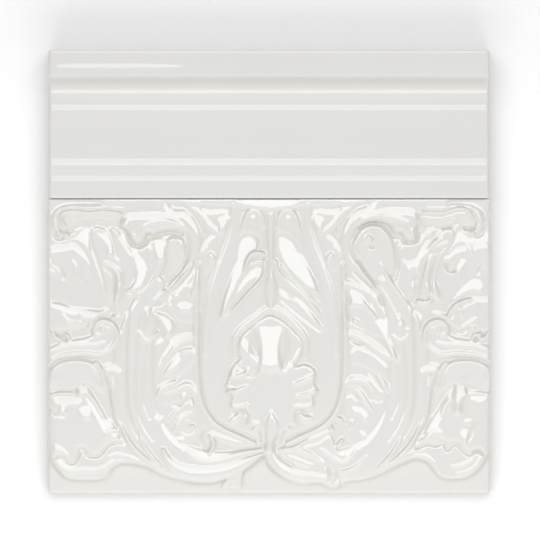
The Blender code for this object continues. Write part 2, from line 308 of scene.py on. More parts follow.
def draw_trunk(relief):
    """The thick S-shaped stem that climbs from the knot, with its bundled flutes."""
    relief.bank(2.0, (1.4, 7.4, 2.4), (-3, 14.4), (-9, 12), (-17, 9.8), (-26, 9.8), (-34.5, 12.5),
                (-41, 18), (-45.5, 26.5), (-47.2, 37), (-46.6, 49), (-45, 59), (-42, 67), (-38.5, 72.5),
                power=0.32)
    relief.bank(2.1, (0.5, 1.1, 0.6), (-56.6, 43), (-54.4, 38), (-53.5, 32), (-52.6, 26.4), (-51, 22.4))
    relief.groove(0.3, (0.5, 0.8, 0.4), (-56, 38), (-55, 33), (-54, 27), (-52.4, 21.6))
    relief.groove(0.55, (0.5, 0.8, 0.4), (-48.4, 63), (-49, 55), (-49.2, 46), (-49.2, 38), (-48.6, 30),
                  (-46.8, 23), (-43.4, 16.6), (-40.2, 12.4), lean=0.2)
    relief.groove(0.3, (0.4, 0.8, 0.4), (-44.8, 62), (-45.5, 52), (-46.3, 40), (-45.6, 31), (-43.6, 24),
                  (-40, 18), lean=0.2)
    relief.groove(0.25, (0.4, 0.8, 0.4), (-42.4, 51), (-43.4, 42), (-43.4, 33), (-41, 25.6))
    relief.bank(2.8, (0.3, 1.2, 0.7), (-50.8, 23.6), (-49.6, 20.4), (-46.8, 15.8), (-42.6, 11.8),
                (-38.6, 9), lean=-0.2)
    relief.bank(2.7, (0.3, 1.0, 0.5), (-44.6, 19.4), (-42.4, 15.6), (-39.8, 12), (-36.4, 8.6),
                lean=-0.2)


def draw_foot_scroll(relief):
    """The two rolls of the lower scroll, the horn leaf over them and its small curl."""
    relief.bank(2.8, (0.8, 3.6, 0.9), (-2.4, 13.6), (-7, 11.4), (-13, 8.7), (-20, 7.2), (-27, 7.2),
                (-32, 9), (-35, 12), (-36.4, 15), lean=0.3)
    relief.bank(2.3, (0.5, 1.7, 0.9), (-3, 15), (-9, 13.8), (-15, 11.8), (-21, 10.7), (-25.4, 12),
                (-28.4, 14.4), lean=0.3)
    relief.leaf(1.8, 2.4, (-3.4, 16.4), (-8, 15.6), (-13, 16.2), (-18, 18.2), (-21, 20.2),
                (-19.4, 21.6), (-14, 21), (-8, 19), lean=0.6)
    relief.bank(2.4, (0.3, 0.9, 0.4), (-20.8, 19.6), (-19.4, 18.4), (-19.2, 16.4), (-20.6, 13.6))
    relief.groove(0.5, (0.4, 0.8, 0.4), (-22.6, 22), (-23.4, 19), (-21.6, 14.4))
    relief.plate(1.2, (-12, 2, 1.0), (-8, 10, 1.6), (-3, 12.4), (-7.4, 10), (-9.2, 6), (-9.8, 1.9),
                 (-13, 1.7), (-16.4, 1.8), (-14.6, 4.6), (-12, 8), (-8, 12))


def draw_corner_leaf(relief):
    """The large lower leaf: a domed blade with a scalloped foot over a rolled rim."""
    relief.leaf(2.0, 1.6, (-38, 7.4), (-43, 9.2), (-47, 10.2), (-51, 10.2), (-54.2, 8.6), (-57, 5.2),
                (-61, 4.4), (-66, 4.5), (-70, 5.2), (-73, 8.2), (-75.2, 11.5), (-75.7, 16), (-73, 18),
                (-68, 16), (-62, 18), (-55, 20), (-50, 19), (-45.5, 15), (-41, 11))
    relief.bank(2.4, (0.6, 1.7, 0.6), (-74.4, 12.6), (-72.4, 9.4), (-69, 7.2), (-64, 7.4), (-60, 7.4),
                (-56.6, 8.6), (-54, 10.8), lean=0.3)
    relief.bank(2.3, (0.4, 0.9, 0.5), (-55.6, 12.2), (-53, 13.4), (-50, 13), (-46.4, 11.8), (-42, 10.8),
                lean=-0.3)
    relief.bank(2.2, (0.4, 0.8, 0.5), (-54.6, 9.8), (-52, 11), (-47.6, 11), (-43, 10.2), (-38.6, 8.2),
                lean=-0.3)
    relief.floor = LEAF_FOOT
    relief.leaf(2.3, 3.4, (-75.6, 13), (-74, 12), (-72.2, 12.8), (-70.6, 12.2), (-69.4, 11),
                (-67.6, 10.8), (-66, 12.4), (-65, 15.6), (-63.8, 15.5), (-61.4, 13.1), (-58.8, 13.6),
                (-56.4, 15.8), (-54.4, 17.5), (-52.4, 17.8), (-51, 18.6), (-51.6, 21.4), (-54, 24),
                (-56.4, 26.6), (-59.4, 32), (-62, 36.2), (-64, 37.4), (-66, 36.8), (-67.4, 34.4),
                (-71, 34.2), (-75.8, 33.4), lean=0.7)
    relief.floor = MASS_LEVEL
    relief.ramp(1.1, 0.12, 0.5, (-66.9, 33.6), (-66.7, 36.2), (-65, 37.6), (-62.6, 37), (-61.2, 35),
                (-58.8, 31.6), (-56.5, 27.6), (-56.2, 25.4), (-57.4, 25.8), (-59.6, 29.6),
                (-61.6, 32.4), (-63.4, 33.7), (-65.2, 32.9))
    relief.ramp(0.9, 0.15, 0.5, (-72.8, 32.5), (-70, 33.2), (-65.5, 33), (-65.3, 30), (-66.6, 29.7),
                (-68.4, 30), (-69.6, 28.8), (-69.7, 26.6), (-73, 26.8), (-72.3, 30))
    relief.ramp(0.8, 0.2, 0.5, (-65.3, 29.2), (-61.4, 29.2), (-61.3, 24.9), (-64.8, 25.4))
    relief.groove(0.8, (0.5, 0.9, 0.3), (-76, 29), (-74.2, 27.9), (-72.2, 27), (-70.4, 26.6))
    relief.ramp(0.7, 0.3, 0.6, (-74.6, 17), (-73.4, 16.6), (-71, 15.4), (-69, 13), (-68.2, 11.6),
                (-69.6, 11.8), (-71.2, 13.4), (-73, 14), (-74.2, 13.4))
    relief.ramp(0.6, 0.25, 0.5, (-57, 19.2), (-56, 22), (-54, 22.8), (-51.6, 22.2), (-51.8, 21),
                (-54.4, 20.8), (-56, 19))
    relief.groove(0.7, (0.4, 0.9, 0.4), (-74.4, 12.2), (-71.8, 12.4), (-69.4, 10.6), (-67.2, 10.4),
                  (-65.6, 13), (-64.6, 15.2), (-62, 12.9), (-58.6, 13), (-55.6, 16.2), (-52.8, 17.4),
                  (-50.4, 17.2))


def draw_arch_lobe(relief):
    """The arched lobe under the volute, with its rolled rim and pearl feet."""
    relief.plate(0.8, (-66, 46, 2.5), (-66, 34, 1.5), (-75.8, 36), (-75.8, 42), (-72, 45.4),
                 (-66, 46.4), (-60.5, 45), (-57.4, 40), (-56.4, 34.4), (-59.6, 35.4), (-61.6, 37),
                 (-64.4, 37.6), (-67, 35.9), (-71, 35.8))
    relief.bank(2.4, (0.9, 1.3, 0.7), (-75.2, 37.6), (-74.4, 42), (-71, 44.4), (-66, 45.1),
                (-61.8, 43.8), (-59.2, 40.4), (-57.8, 36.4))
    relief.bank(2.3, (0.8, 1.0, 0.8), (-73.4, 41), (-73.8, 38.4))
    relief.bank(2.1, (0.4, 0.6, 0.5), (-75.8, 33.2), (-72.4, 34.3), (-67.6, 34.3))
    relief.bank(2.3, (0.5, 0.8, 0.5), (-59.8, 45.2), (-58.2, 43), (-57, 40), (-56, 36.4))
    relief.plate(0.8, (-55, 45, 1.4), (-54, 41, 2.3), (-57.2, 44.2), (-54.2, 44.8), (-51.4, 43.4),
                 (-50.6, 40.6), (-50.7, 36), (-51.6, 36), (-52, 40), (-53.4, 41.4), (-55.6, 41.4))


def draw_volute(relief):
    """The bands that run in from the tile's side and curl up into a volute."""
    relief.leaf(1.9, 0.9, (-77, 44), (-73, 47), (-67, 48), (-60, 47.6), (-56, 48.6), (-53, 51.4),
                (-52.2, 55.6), (-54, 59.4), (-58, 60.4), (-60.6, 58.6), (-60.8, 55.4), (-63, 53.8),
                (-68, 53), (-71, 52.4), (-77, 49))
    relief.bank(2.3, (0.5, 1.0, 0.5), (-73.6, 49.2), (-70, 50.4), (-65, 50.8), (-60, 51), (-56.8, 51.8))
    relief.bank(2.4, (0.9, 1.3, 0.8), (-76.4, 44.4), (-73, 47), (-69, 48), (-63, 48.3), (-58.6, 47.8),
                (-55.4, 49.2), (-52.9, 52.2), (-52.8, 55.6), (-54.6, 58.4), (-57.6, 59.2),
                (-59.8, 57.6), (-60, 55.4), (-58.6, 54.2), lean=-0.3)
    relief.bank(2.5, (1.0, 1.3, 1.0), (-57.3, 57), (-57, 55.4))
    relief.bank(2.4, (0.5, 0.7, 0.5), (-55, 57.2), (-55.2, 55.6))
    relief.bank(2.2, (0.5, 0.9, 0.5), (-74.8, 55.6), (-73.6, 53.8), (-71.4, 52.4))
    relief.bank(2.1, (0.5, 0.8, 0.5), (-70.6, 54.8), (-69.4, 54.2), (-68.8, 52.8))
    relief.groove(0.7, (0.4, 0.7, 0.3), (-73.4, 54.6), (-71.2, 54), (-69.6, 52.6))


def draw_upper_leaf(relief):
    """The leaf between the volute and the corner lobes."""
    relief.leaf(1.7, 2.2, (-76.4, 57), (-76.4, 66), (-72, 65.8), (-68, 64.2), (-62, 63.6),
                (-58.6, 63.2), (-56, 63.8), (-55.4, 62), (-59, 60.4), (-61, 58.6), (-66, 56.4),
                (-71, 56))
    relief.plate(0.6, (-61, 63.6, 1.4), (-61, 60.4, 2.3), (-66.2, 63.8), (-62, 63.5), (-58.4, 63.1),
                 (-56, 64), (-55.8, 62.6), (-58, 61.4), (-60.2, 59.6), (-63, 59.8), (-65.2, 60.8))
    relief.bank(2.2, (0.3, 0.8, 0.7), (-71, 61.2), (-69, 58.8), (-65.4, 58.6))
    relief.bank(2.2, (0.6, 0.8, 0.4), (-61.4, 59.2), (-61.9, 57))
    relief.groove(0.5, (0.4, 0.7, 0.4), (-74.6, 66), (-71.6, 65.7), (-69, 64.6))


def draw_corner_lobes(relief):
    """The fan of long lobes that falls from the top corner to the sheath."""
    relief.plate(2.2, (-66, 85, 1.9), (-66, 66, 0.7), (-76.8, 81), (-75.6, 84.6), (-72, 85.5),
                 (-70, 85.7), (-67.8, 86.4), (-65.4, 84.8), (-63, 82), (-61, 78), (-58.9, 72.6),
                 (-57.8, 67.4), (-62, 65.4), (-68, 66.4), (-76.8, 67))
    relief.ramp(0.9, 0.2, 0.5, (-68.4, 80.9), (-67.1, 80.5), (-65.6, 77.4), (-64.2, 73.2),
                (-65.2, 72.6), (-67, 75.4), (-67.9, 78.6))
    relief.ramp(0.6, 0.25, 0.5, (-76.8, 78.6), (-75.4, 77.7), (-73.3, 76), (-73.4, 75.2), (-75, 75.4),
                (-76.8, 76.6))
    relief.groove(0.6, (0.3, 0.8, 0.4), (-75.4, 81.4), (-74, 79.2), (-72.2, 77.8), (-71, 76),
                  (-70.8, 74))
    relief.leaf(1.7, 1.0, (-61.6, 90.4), (-59.6, 91.8), (-56, 90.6), (-53.4, 86.4), (-51, 81.4),
                (-50, 76), (-50.4, 68.6), (-53.6, 66), (-56.2, 68), (-57.2, 74), (-59, 80.4),
                (-60.6, 86))
    relief.ramp(1.4, 0.09, 0.6, (-72, 86.9), (-69.6, 87.3), (-66.4, 88.3), (-65, 90), (-62.2, 91.4),
                (-61.9, 88), (-61.1, 84.8), (-59.5, 80.4), (-57.7, 75.4), (-56.6, 71), (-56.5, 67.8),
                (-57.5, 68), (-58.4, 71.6), (-60.2, 77), (-62, 81.6), (-64.8, 85.2), (-67, 86.9),
                (-69.4, 86.2))
    relief.ramp(0.3, 0.35, 0.5, (-60.8, 90.8), (-59.5, 91.9), (-57, 91.4), (-56.2, 90), (-57.4, 90.1),
                (-59.4, 90.8))
    relief.ramp(0.9, 0.09, 0.5, (-59.7, 89.6), (-57, 89.5), (-54.4, 88.8), (-53.9, 86.4), (-53.2, 82.6),
                (-52, 81), (-50.4, 81.2), (-50.2, 79.5), (-52.4, 79.1), (-54.6, 81), (-55.9, 81.9),
                (-56, 84), (-57.6, 86.4))
    relief.bank(2.2, (0.9, 1.5, 1.0), (-56.2, 79), (-53, 77), (-51.7, 73.4), (-51.9, 69.4), (-52.8, 66))
    relief.groove(0.7, (0.4, 0.7, 0.3), (-56.6, 77.8), (-54.4, 76.4), (-53.3, 74.6), (-53.4, 70.6),
                  (-54, 66.8))
    relief.raise_by(0.3, (0.3, 0.7, 0.4), (-51.5, 71.6), (-52, 70), (-52.5, 68))
    relief.groove(0.5, (0.5, 0.9, 0.5), (-53.6, 65.4), (-53.8, 62.6), (-52, 61.6))
    relief.bank(2.1, (0.5, 0.6, 0.4), (-53.9, 60.7), (-53.5, 60.3))
    relief.leaf(1.8, 0.8, (-54.6, 91.4), (-52, 90.6), (-49.4, 87), (-46.4, 84), (-44.4, 80),
                (-44, 74.6), (-46, 71.4), (-49.8, 70.6), (-50.2, 75), (-51.2, 79.6), (-53, 84))
    relief.ramp(0.9, 0.1, 0.6, (-54, 91.6), (-52.9, 91), (-50.8, 87), (-48.6, 83), (-46.6, 80.4),
                (-46, 76), (-45.9, 72.4), (-44.4, 72), (-44.2, 78), (-45, 81.6), (-46.4, 84),
                (-48.4, 86.4), (-50.6, 89), (-51.4, 89.2), (-49.4, 86), (-47.6, 83), (-47.8, 82),
                (-50, 85), (-52, 88.4))
    relief.groove(0.4, (0.3, 0.5, 0.3), (-51.6, 88.8), (-49.4, 85.6), (-47, 82))
    relief.ramp(0.8, 0.16, 0.5, (-50, 70.2), (-48, 70.9), (-46.6, 73.6), (-45.2, 74.4), (-44.2, 72.6),
                (-43.2, 71), (-41.6, 70.8), (-43.4, 68.8), (-45.4, 67), (-48.4, 67), (-49.6, 68.2))
    relief.leaf(1.7, 0.9, (-48, 85.4), (-44.6, 84.6), (-40, 88), (-35.4, 87.2), (-35.4, 82),
                (-36.4, 78), (-39.6, 73), (-42.6, 70.6), (-44.2, 73.4), (-44.4, 80))
    relief.ramp(0.8, 0.1, 0.6, (-39.2, 86), (-37, 86.4), (-35.5, 87.4), (-35.8, 84), (-36.2, 80.2),
                (-38.8, 79.8))
    relief.bank(2.2, (0.3, 0.7, 0.5), (-35.9, 81.6), (-36.4, 79), (-38.6, 75), (-41, 71.6), (-43, 70.2),
                lean=-0.3)
    relief.raise_by(0.3, (0.3, 0.6, 0.3), (-40.9, 84.6), (-40.9, 81.8), (-41, 79))


def draw_long_fold(relief):
    """The long bright fold that falls from under the lip on the left."""
    relief.facet(0.8, (-46, 85, 1.4), (-45, 70, 2.5), (-48, 85), (-45.4, 84.6), (-42.8, 79.4),
                 (-42, 75), (-43.4, 70.6), (-46.4, 69.4), (-49.6, 69.8), (-46.8, 72), (-45.6, 76),
                 (-46.4, 80.6))


def draw_top_band(relief):
    """The smooth band along the joint, which curls round the corner cap on the left."""
    relief.leaf(2.2, 2.4, (-36, ABOVE), (-36, 97.2), (-44, 97.2), (-49, 96.6), (-52, 97.2), (-57, 97.7),
                (-62, 97.2), (-67, 97.8), (-70.9, 97.4), (-72.4, 95.6), (-72.3, 93.4), (-72.2, 91.2),
                (-73.6, 90.4), (-75, 92), (-75.1, 95.4), (-73.8, 98), (-71, 99.4), (-66, 100),
                (-58, 100.3), (-44, 101), (-41, ABOVE))


def draw_top_scroll(relief):
    """The scroll along the top: its outer roll, the overhanging lip and the corner cap."""
    relief.leaf(2.2, 2.4, (-38, ABOVE), (-34, 99.8), (-29, 98), (-25.6, 95), (-23.2, 91), (-22.9, 87),
                (-24, 82.4), (-27, 78), (-31, 73.6), (-34.2, 70.2), (-35.4, 71.2), (-32.4, 75.6),
                (-29, 80), (-28, 84), (-28.2, 88), (-29.3, 90.2), (-33, 90.6), (-37, 90.2), (-40, 89),
                (-41.6, 89.6), (-43.2, 86.8), (-45, 85.9), (-46.8, 86.4), (-48.4, 88.2), (-49.6, 90.2),
                (-51.8, 92.2), (-50.6, 95.4), (-52, 98.6), (-58, 100), (-62, ABOVE), lean=0.4)
    relief.ramp(0.5, 0.24, 0.3, (-50, 95.8), (-44, 96.5), (-38, 96.6), (-34, 95.6), (-30.4, 93.2),
                (-29, 90.6), (-33, 90.8), (-37, 90.4), (-40, 89.2), (-41.6, 89.8), (-43.2, 87),
                (-45, 86.2), (-46.8, 86.7), (-48.2, 88.4), (-49.2, 90.6), (-51.2, 92.4))
    relief.groove(0.8, (0.5, 1.1, 0.5), (-51.6, 91.8), (-49.2, 89.8), (-48, 87.4), (-46.6, 85.8),
                  (-45, 85.3), (-43, 86), (-41.6, 88.8), (-40, 88.4), (-37, 89.4), (-33.6, 89.9),
                  (-29.8, 89.2))
    relief.raise_by(0.25, (0.3, 0.8, 0.3), (-43, 91.8), (-40.6, 93), (-37, 93.6), (-33.6, 93.5),
                    (-30.8, 92.4), lean=0.2)
    relief.bank(3.0, (0.7, 0.9, 0.5), (-47.1, 89), (-46.6, 88.2))
    relief.facet(0.8, (-60, 96.6, 2.0), (-60, 91, 0.9), (-51, 95.8), (-57, 96.6), (-64, 96.4),
                 (-69, 96.8), (-71.2, 94.6), (-70.4, 91.6), (-67.6, 90.4), (-64, 91.8), (-58, 92.4),
                 (-53.4, 91.6))
    relief.bank(2.5, (0.5, 0.9, 0.5), (-49.8, 95.2), (-52, 96.5), (-57, 97), (-62, 96.5), (-67, 97.1),
                (-70.3, 96.8), (-71.8, 95.4), (-71.6, 93.6), (-70.4, 92.4))
    relief.groove(0.25, (0.5, 1.0, 0.5), (-66, 93.4), (-60, 94), (-55, 93.6))
    relief.bank(2.2, (0.8, 0.9, 0.6), (-72.7, 90.2), (-72.3, 89.3))
    relief.bank(2.1, (0.7, 0.9, 0.6), (-70.3, 89.3), (-69.4, 88.5))
    relief.groove(0.7, (0.5, 1.0, 0.6), (-74, 89.4), (-73, 87.9), (-71, 87.8))
    relief.groove(0.6, (0.5, 0.8, 0.5), (-71.4, 90.4), (-69.4, 90.4), (-67.4, 89.9))
    relief.raise_by(0.3, (0.5, 0.7, 0.4), (-28.9, 89), (-28.2, 86), (-28.3, 83))


def draw_scroll_heart(relief):
    """The lobes inside the top scroll, between the sheath and the scroll's roll."""
    relief.plate(1.0, (-32, 89, 2.3), (-32, 76, 1.4), (-35.2, 87.4), (-31.6, 88.4), (-29, 87),
                 (-28.8, 82), (-31, 77.6), (-34.6, 75.4), (-35.4, 81), lean=0.2)
    relief.raise_by(0.3, (0.4, 0.7, 0.4), (-30.6, 86.2), (-30, 84.6), (-29.6, 82.8))
    relief.groove(0.5, (0.4, 0.9, 0.5), (-28.2, 80.4), (-31, 76), (-34.6, 72.2))
    relief.bank(2.5, (0.4, 0.8, 0.4), (-33.7, 70.2), (-31, 73), (-28, 76.6), (-26.2, 79.2))


def draw_bud(relief):
    """The bud beside the trunk, in its cup, and the leaves that fall to its right."""
    relief.bank(2.2, (1.4, 2.9, 1.3), (-42.2, 63.4), (-41.8, 58.6), (-41.6, 54.6), power=0.5)
    relief.raise_by(0.4, (0.4, 0.9, 0.4), (-41.9, 62.6), (-41.8, 58.4), (-41.7, 56))
    relief.bank(2.3, (0.5, 0.8, 0.5), (-45, 55.6), (-43.4, 53.4), (-41.6, 52.6), (-39.8, 53.6),
                (-38.6, 55.4))
    relief.leaf(1.7, 1.2, (-40, 62.4), (-36.6, 62), (-33, 59.6), (-32.4, 56.4), (-33.6, 53.6),
                (-36, 52.4), (-37.2, 56), (-38.4, 59.4), lean=0.2)
    relief.ramp(1.0, 0.13, 0.5, (-39.8, 61.9), (-36.4, 61.9), (-33.4, 59.6), (-33, 56.4), (-34.2, 54.2),
                (-36, 53.6), (-36.2, 56), (-37.6, 58.8))
    relief.bank(2.2, (0.5, 1.2, 0.6), (-39.8, 66.2), (-38.4, 67.4), (-36, 69.8))
    relief.groove(0.6, (0.5, 0.8, 0.4), (-40.4, 63), (-39.6, 64.6), (-36.4, 65.8))
    relief.leaf(1.5, 1.0, (-34.4, 67.4), (-31, 70.6), (-27, 76), (-24.4, 79.6), (-24.2, 70),
                (-24.8, 60), (-28, 58.4), (-32.6, 60), (-34.8, 64), lean=0.0)
    relief.ramp(0.8, 0.14, 0.5, (-29.6, 70.9), (-26.8, 72.4), (-24.7, 77), (-24.3, 72), (-25.4, 68.6),
                (-26.6, 65.8), (-28, 67.4), (-27, 70))
    relief.ramp(0.5, 0.2, 0.5, (-31.2, 65.2), (-27, 65.4), (-27, 62.5), (-30.8, 62.4))
    relief.ramp(0.5, 0.2, 0.5, (-35, 65.2), (-33.6, 65), (-33.8, 63.6), (-35, 63.8))
    relief.raise_by(0.3, (0.4, 0.9, 0.4), (-33.2, 68.8), (-31.8, 67.4))


def draw_acanthus(relief):
    """The inner acanthus leaf, a row of overlapping tips along the lyre's rim."""
    relief.leaf(1.5, 2.0, (-39, 52), (-33, 54), (-27, 55), (-25.4, 50), (-25, 42), (-24.6, 32),
                (-24, 21), (-29, 16), (-36, 16.4), (-40.4, 25), (-40.4, 38), lean=0.0)
    relief.leaf(1.8, 2.2, (-38.6, 42.2), (-37.2, 46), (-34.6, 50.4), (-31.4, 53.6), (-28, 55),
                (-25.8, 54.6), (-26, 52.4), (-29.6, 50.8), (-32, 48.6), (-35, 45.4), lean=0.6)
    relief.ramp(0.8, 0.12, 0.8, (-38.7, 42), (-37, 47), (-34.4, 51), (-31.4, 54), (-28, 55),
                (-25.8, 54.6), (-26.2, 53.4), (-29.4, 51.6), (-31.8, 49.6), (-35, 46))
    relief.leaf(1.8, 0.7, (-36.8, 41), (-34.4, 45), (-31, 48.8), (-27.4, 49.8), (-25.3, 48),
                (-25.8, 44.8), (-28.4, 42), (-31.6, 40.2), (-34.6, 39.6), lean=0.3)
    relief.ramp(0.7, 0.16, 0.5, (-36.4, 41.4), (-34.4, 44.4), (-31.6, 46.6), (-30.4, 46.2), (-31, 43.6),
                (-33.4, 41.6))
    relief.lobe(2.1, (0.6, 1.5, 0.6), (-30.4, 49), (-27, 49.2), (-25.6, 47.6), (-26, 45.4))
    relief.lobe(2.1, (0.6, 1.7, 0.6), (-38.8, 33), (-37.4, 35.8), (-34.4, 37.8), (-32.4, 38.6))
    relief.bank(2.2, (0.4, 0.8, 0.4), (-35, 35.6), (-33, 37.4), (-31.2, 39.6))
    relief.leaf(1.7, 0.7, (-38, 32.4), (-36.4, 35), (-33.6, 36), (-30.6, 38), (-27.6, 38.4),
                (-25.4, 36.4), (-24.7, 32.6), (-25.6, 29.6), (-27, 32.2), (-30.4, 31.2), (-33.6, 30.2),
                (-36.6, 30.6), lean=0.2)
    relief.lobe(2.2, (0.6, 1.9, 0.7), (-34.2, 34.4), (-31, 36.4), (-28, 37.3), (-26, 35.6),
                (-25.1, 32.6), (-25.6, 29.4))
    relief.ramp(0.7, 0.14, 0.5, (-30.2, 35.6), (-28.3, 36), (-28.2, 33.6), (-29, 31.6), (-31.6, 30.8),
                (-30.4, 33))
    relief.groove(0.6, (0.4, 0.8, 0.4), (-33.4, 30.4), (-30, 31.2), (-27, 32.6), (-25.7, 29.6))
    relief.bank(2.0, (0.4, 0.8, 0.4), (-35, 24.6), (-32.6, 27.4), (-29.8, 30))
    relief.bank(2.0, (0.5, 1.6, 0.7), (-32.8, 21), (-31.6, 23.8), (-29.6, 26.4), (-27.2, 27.4),
                lean=-0.4, power=1.0)
    relief.ramp(0.4, 0.2, 0.6, (-29.6, 26.4), (-28.2, 26.2), (-27, 24.2), (-28.6, 24))
    relief.bank(2.3, (0.9, 0.9, 0.8), (-26.6, 23.2), (-26.2, 22.4))
    relief.groove(0.5, (0.4, 0.8, 0.4), (-30, 21.6), (-28, 20.8), (-26, 21.4))
    relief.ramp(0.5, 0.18, 0.4, (-39.6, 26), (-37.6, 26.6), (-36, 26.2), (-38, 23.8))
    relief.ramp(0.5, 0.18, 0.4, (-31.9, 19.4), (-29.2, 19.2), (-29.4, 17.2), (-31.6, 18))


def draw_lyre(relief):
    """The lyre-shaped band round the middle: an outer rim, a groove and the cup inside it."""
    relief.leaf(1.35, 2.0, (0.6, 17), (-4, 18.6), (-9, 20.9), (-14.5, 23.4), (-18.8, 26.8), (-21.6, 31),
                (-23, 37), (-23.5, 45), (-23.3, 55), (-22.2, 65), (-20.4, 73), (-17.6, 80), (-14.8, 87),
                (-13.4, 93), (-13, 99), (-9, 99), (-8, 90), (-4, 80), (0.6, 72))
    relief.raise_by(0.33, (0.8, 1.6, 0.9), (-12.2, 99), (-12.6, 92), (-14.4, 85), (-17.4, 77),
                    (-20, 68), (-21.6, 58), (-22, 48))
    relief.bank(1.91, (0.6, 1.2, 1.0), (-24.4, 79), (-24.8, 70), (-25, 60), (-25.2, 50), (-24.8, 40),
                (-23.8, 33), (-21.6, 27.4), (-18, 23.2), (-12, 20), (-5, 16.8))
    relief.groove(0.42, (0.5, 0.8, 0.9), (-23.7, 62), (-23.7, 50), (-23.4, 39), (-22, 31.2),
                  (-19.2, 26.4), (-16, 23.6), (-12, 21.6), (-8, 20.3), (-4.6, 18.4))
    relief.ramp(0.6, 0.16, 0.5, (-31, 101.6), (-25, 101.6), (-22.6, 96), (-21.8, 89.4), (-23.2, 88.4),
                (-24.4, 93), (-27, 97))
    relief.leaf(1.5, 1.0, (-24.6, 98), (-20, 97.4), (-14.6, 97.6), (-14.4, 92), (-16.4, 86),
                (-18.4, 79), (-22, 76), (-23.8, 80), (-22.4, 86), (-19, 90), (-21.6, 94))
    relief.ramp(0.5, 0.14, 0.5, (-17.2, 95), (-13.4, 95.2), (-14.2, 92.6), (-15.6, 89.6), (-17.8, 89.4),
                (-17.4, 92))
    relief.ramp(0.4, 0.18, 0.5, (-23.8, 85), (-21, 85), (-22, 83.2), (-24, 81.3))
    relief.bank(1.8, (0.6, 1.1, 0.8), (-25.8, 97.8), (-23.4, 96.2), (-21.4, 93), (-18, 90),
                (-16.4, 89.4))
    relief.bank(2.11, (1.3, 1.5, 1.2), (-20.2, 82), (-19.4, 80.4))


def draw_blades(relief):
    """The long blades that lean on the upright, with their curled tips."""
    for relief.side in (1, -1):
        relief.leaf(1.7, 1.2, (-10.4, 84), (-10.4, 89.4), (-9.4, 93.4), (-8.4, 96.6), (-5.4, 98),
                    (-2.6, 97), (-1.4, 93), (-2, 86), (-6, 82))
        relief.bank(2.1, (0.7, 0.9, 0.6), (-9.2, 91), (-8.2, 94.6), (-6.6, 97), (-4, 97.2), (-2.2, 95),
                    (-1.6, 91.6))
        relief.bank(2.0, (0.8, 1.0, 0.8), (-5.6, 95.2), (-5.5, 93.2))
    relief.side = 1
    relief.facet(0.9, (-6, 89.4, 0.8), (-14, 61, 2.5), (-10.8, 87.6), (-7.6, 90), (-4, 88.6),
                 (-3.8, 84.6), (-6, 80.4), (-8, 76), (-9.8, 72.6), (-12, 67.2), (-16.7, 59.6),
                 (-16, 66), (-13.4, 74), (-11.6, 80))
    relief.facet(0.8, (-3.2, 79.6, 1.0), (-13.6, 62, 2.3), (-6.8, 77.6), (-4.4, 79.4), (-2.4, 78.6),
                 (-2.4, 76.6), (-4.6, 73.6), (-8, 70.2), (-12, 65.2), (-15.6, 60.6), (-12.6, 68),
                 (-9.6, 73))
    relief.bank(2.3, (0.5, 0.9, 0.5), (-8.6, 76), (-7.4, 80), (-5.6, 82.4), (-3, 82.8), (-1.4, 82.2))
    relief.bank(2.3, (0.4, 0.8, 0.3), (-1.4, 80.4), (-1.4, 76.8), (-2.8, 73.4), (-7, 68.9), (-12, 63.4),
                (-16, 59.8))
    relief.groove(0.7, (0.3, 0.6, 0.3), (-1.4, 80.9), (-4, 80.9), (-6.6, 79.6))
    relief.facet(0.9, (6, 89.4, 0.9), (13, 70, 2.2), (2.8, 89.4), (5, 90), (8.4, 88), (10.2, 85.2),
                 (12.8, 79.4), (16.2, 72.4), (16.8, 68.4), (13.4, 69.6), (9, 73.6), (4.8, 78.6),
                 (3.4, 83))
    relief.bank(2.2, (0.5, 0.9, 0.4), (2.2, 80), (3, 76.6), (6, 73), (11, 68.6), (15.6, 64),
                (17.4, 61.8))
    relief.bank(2.1, (0.4, 0.8, 0.4), (4.2, 78.4), (7.4, 74), (12, 69.4), (17, 65))
    relief.facet(0.8, (5, 71.6, 1.0), (16, 58.5, 2.1), (3.2, 71.8), (5.6, 71.4), (9, 68.8), (14, 63.2),
                 (18.6, 56.4), (14.2, 59.4), (9.4, 63.6), (4.6, 68))
    relief.groove(0.4, (0.3, 0.7, 0.3), (4, 67), (9, 62.8), (14, 58.8), (17.6, 56))


def draw_upright(relief):
    """The slender stem on the middle line, from the top edge to the palmette's hood."""
    relief.plate(1.6, (0.6, 101, 1.2), (0.6, 97.6, 1.8), (-13, 102.4), (-12, 99.4), (-8, 97.8),
                 (-5, 98.2), (-1.8, 96.6), (-0.2, 91), (0.6, 87), (1.4, 91), (3, 96.6), (6.2, 98.2),
                 (9.2, 97.8), (13, 99.4), (14, 102.4))
    relief.facet(0.3, (0.6, 101.4, 1.75), (0.6, 98.2, 2.15), (-10, 102), (-9, 100), (-4.4, 99),
                 (-1.6, 98.9), (0.6, 97), (3, 98.9), (5.4, 99), (8.4, 100), (9.4, 102))
    relief.bank(2.1, (1.6, 1.0, 1.0), (0.6, 96), (0.6, 88), (0.7, 80), (0.7, 73))
    relief.bank(2.3, (1.0, 2.2, 0.7), (0.7, 75.4), (0.7, 70), (0.6, 64.2))


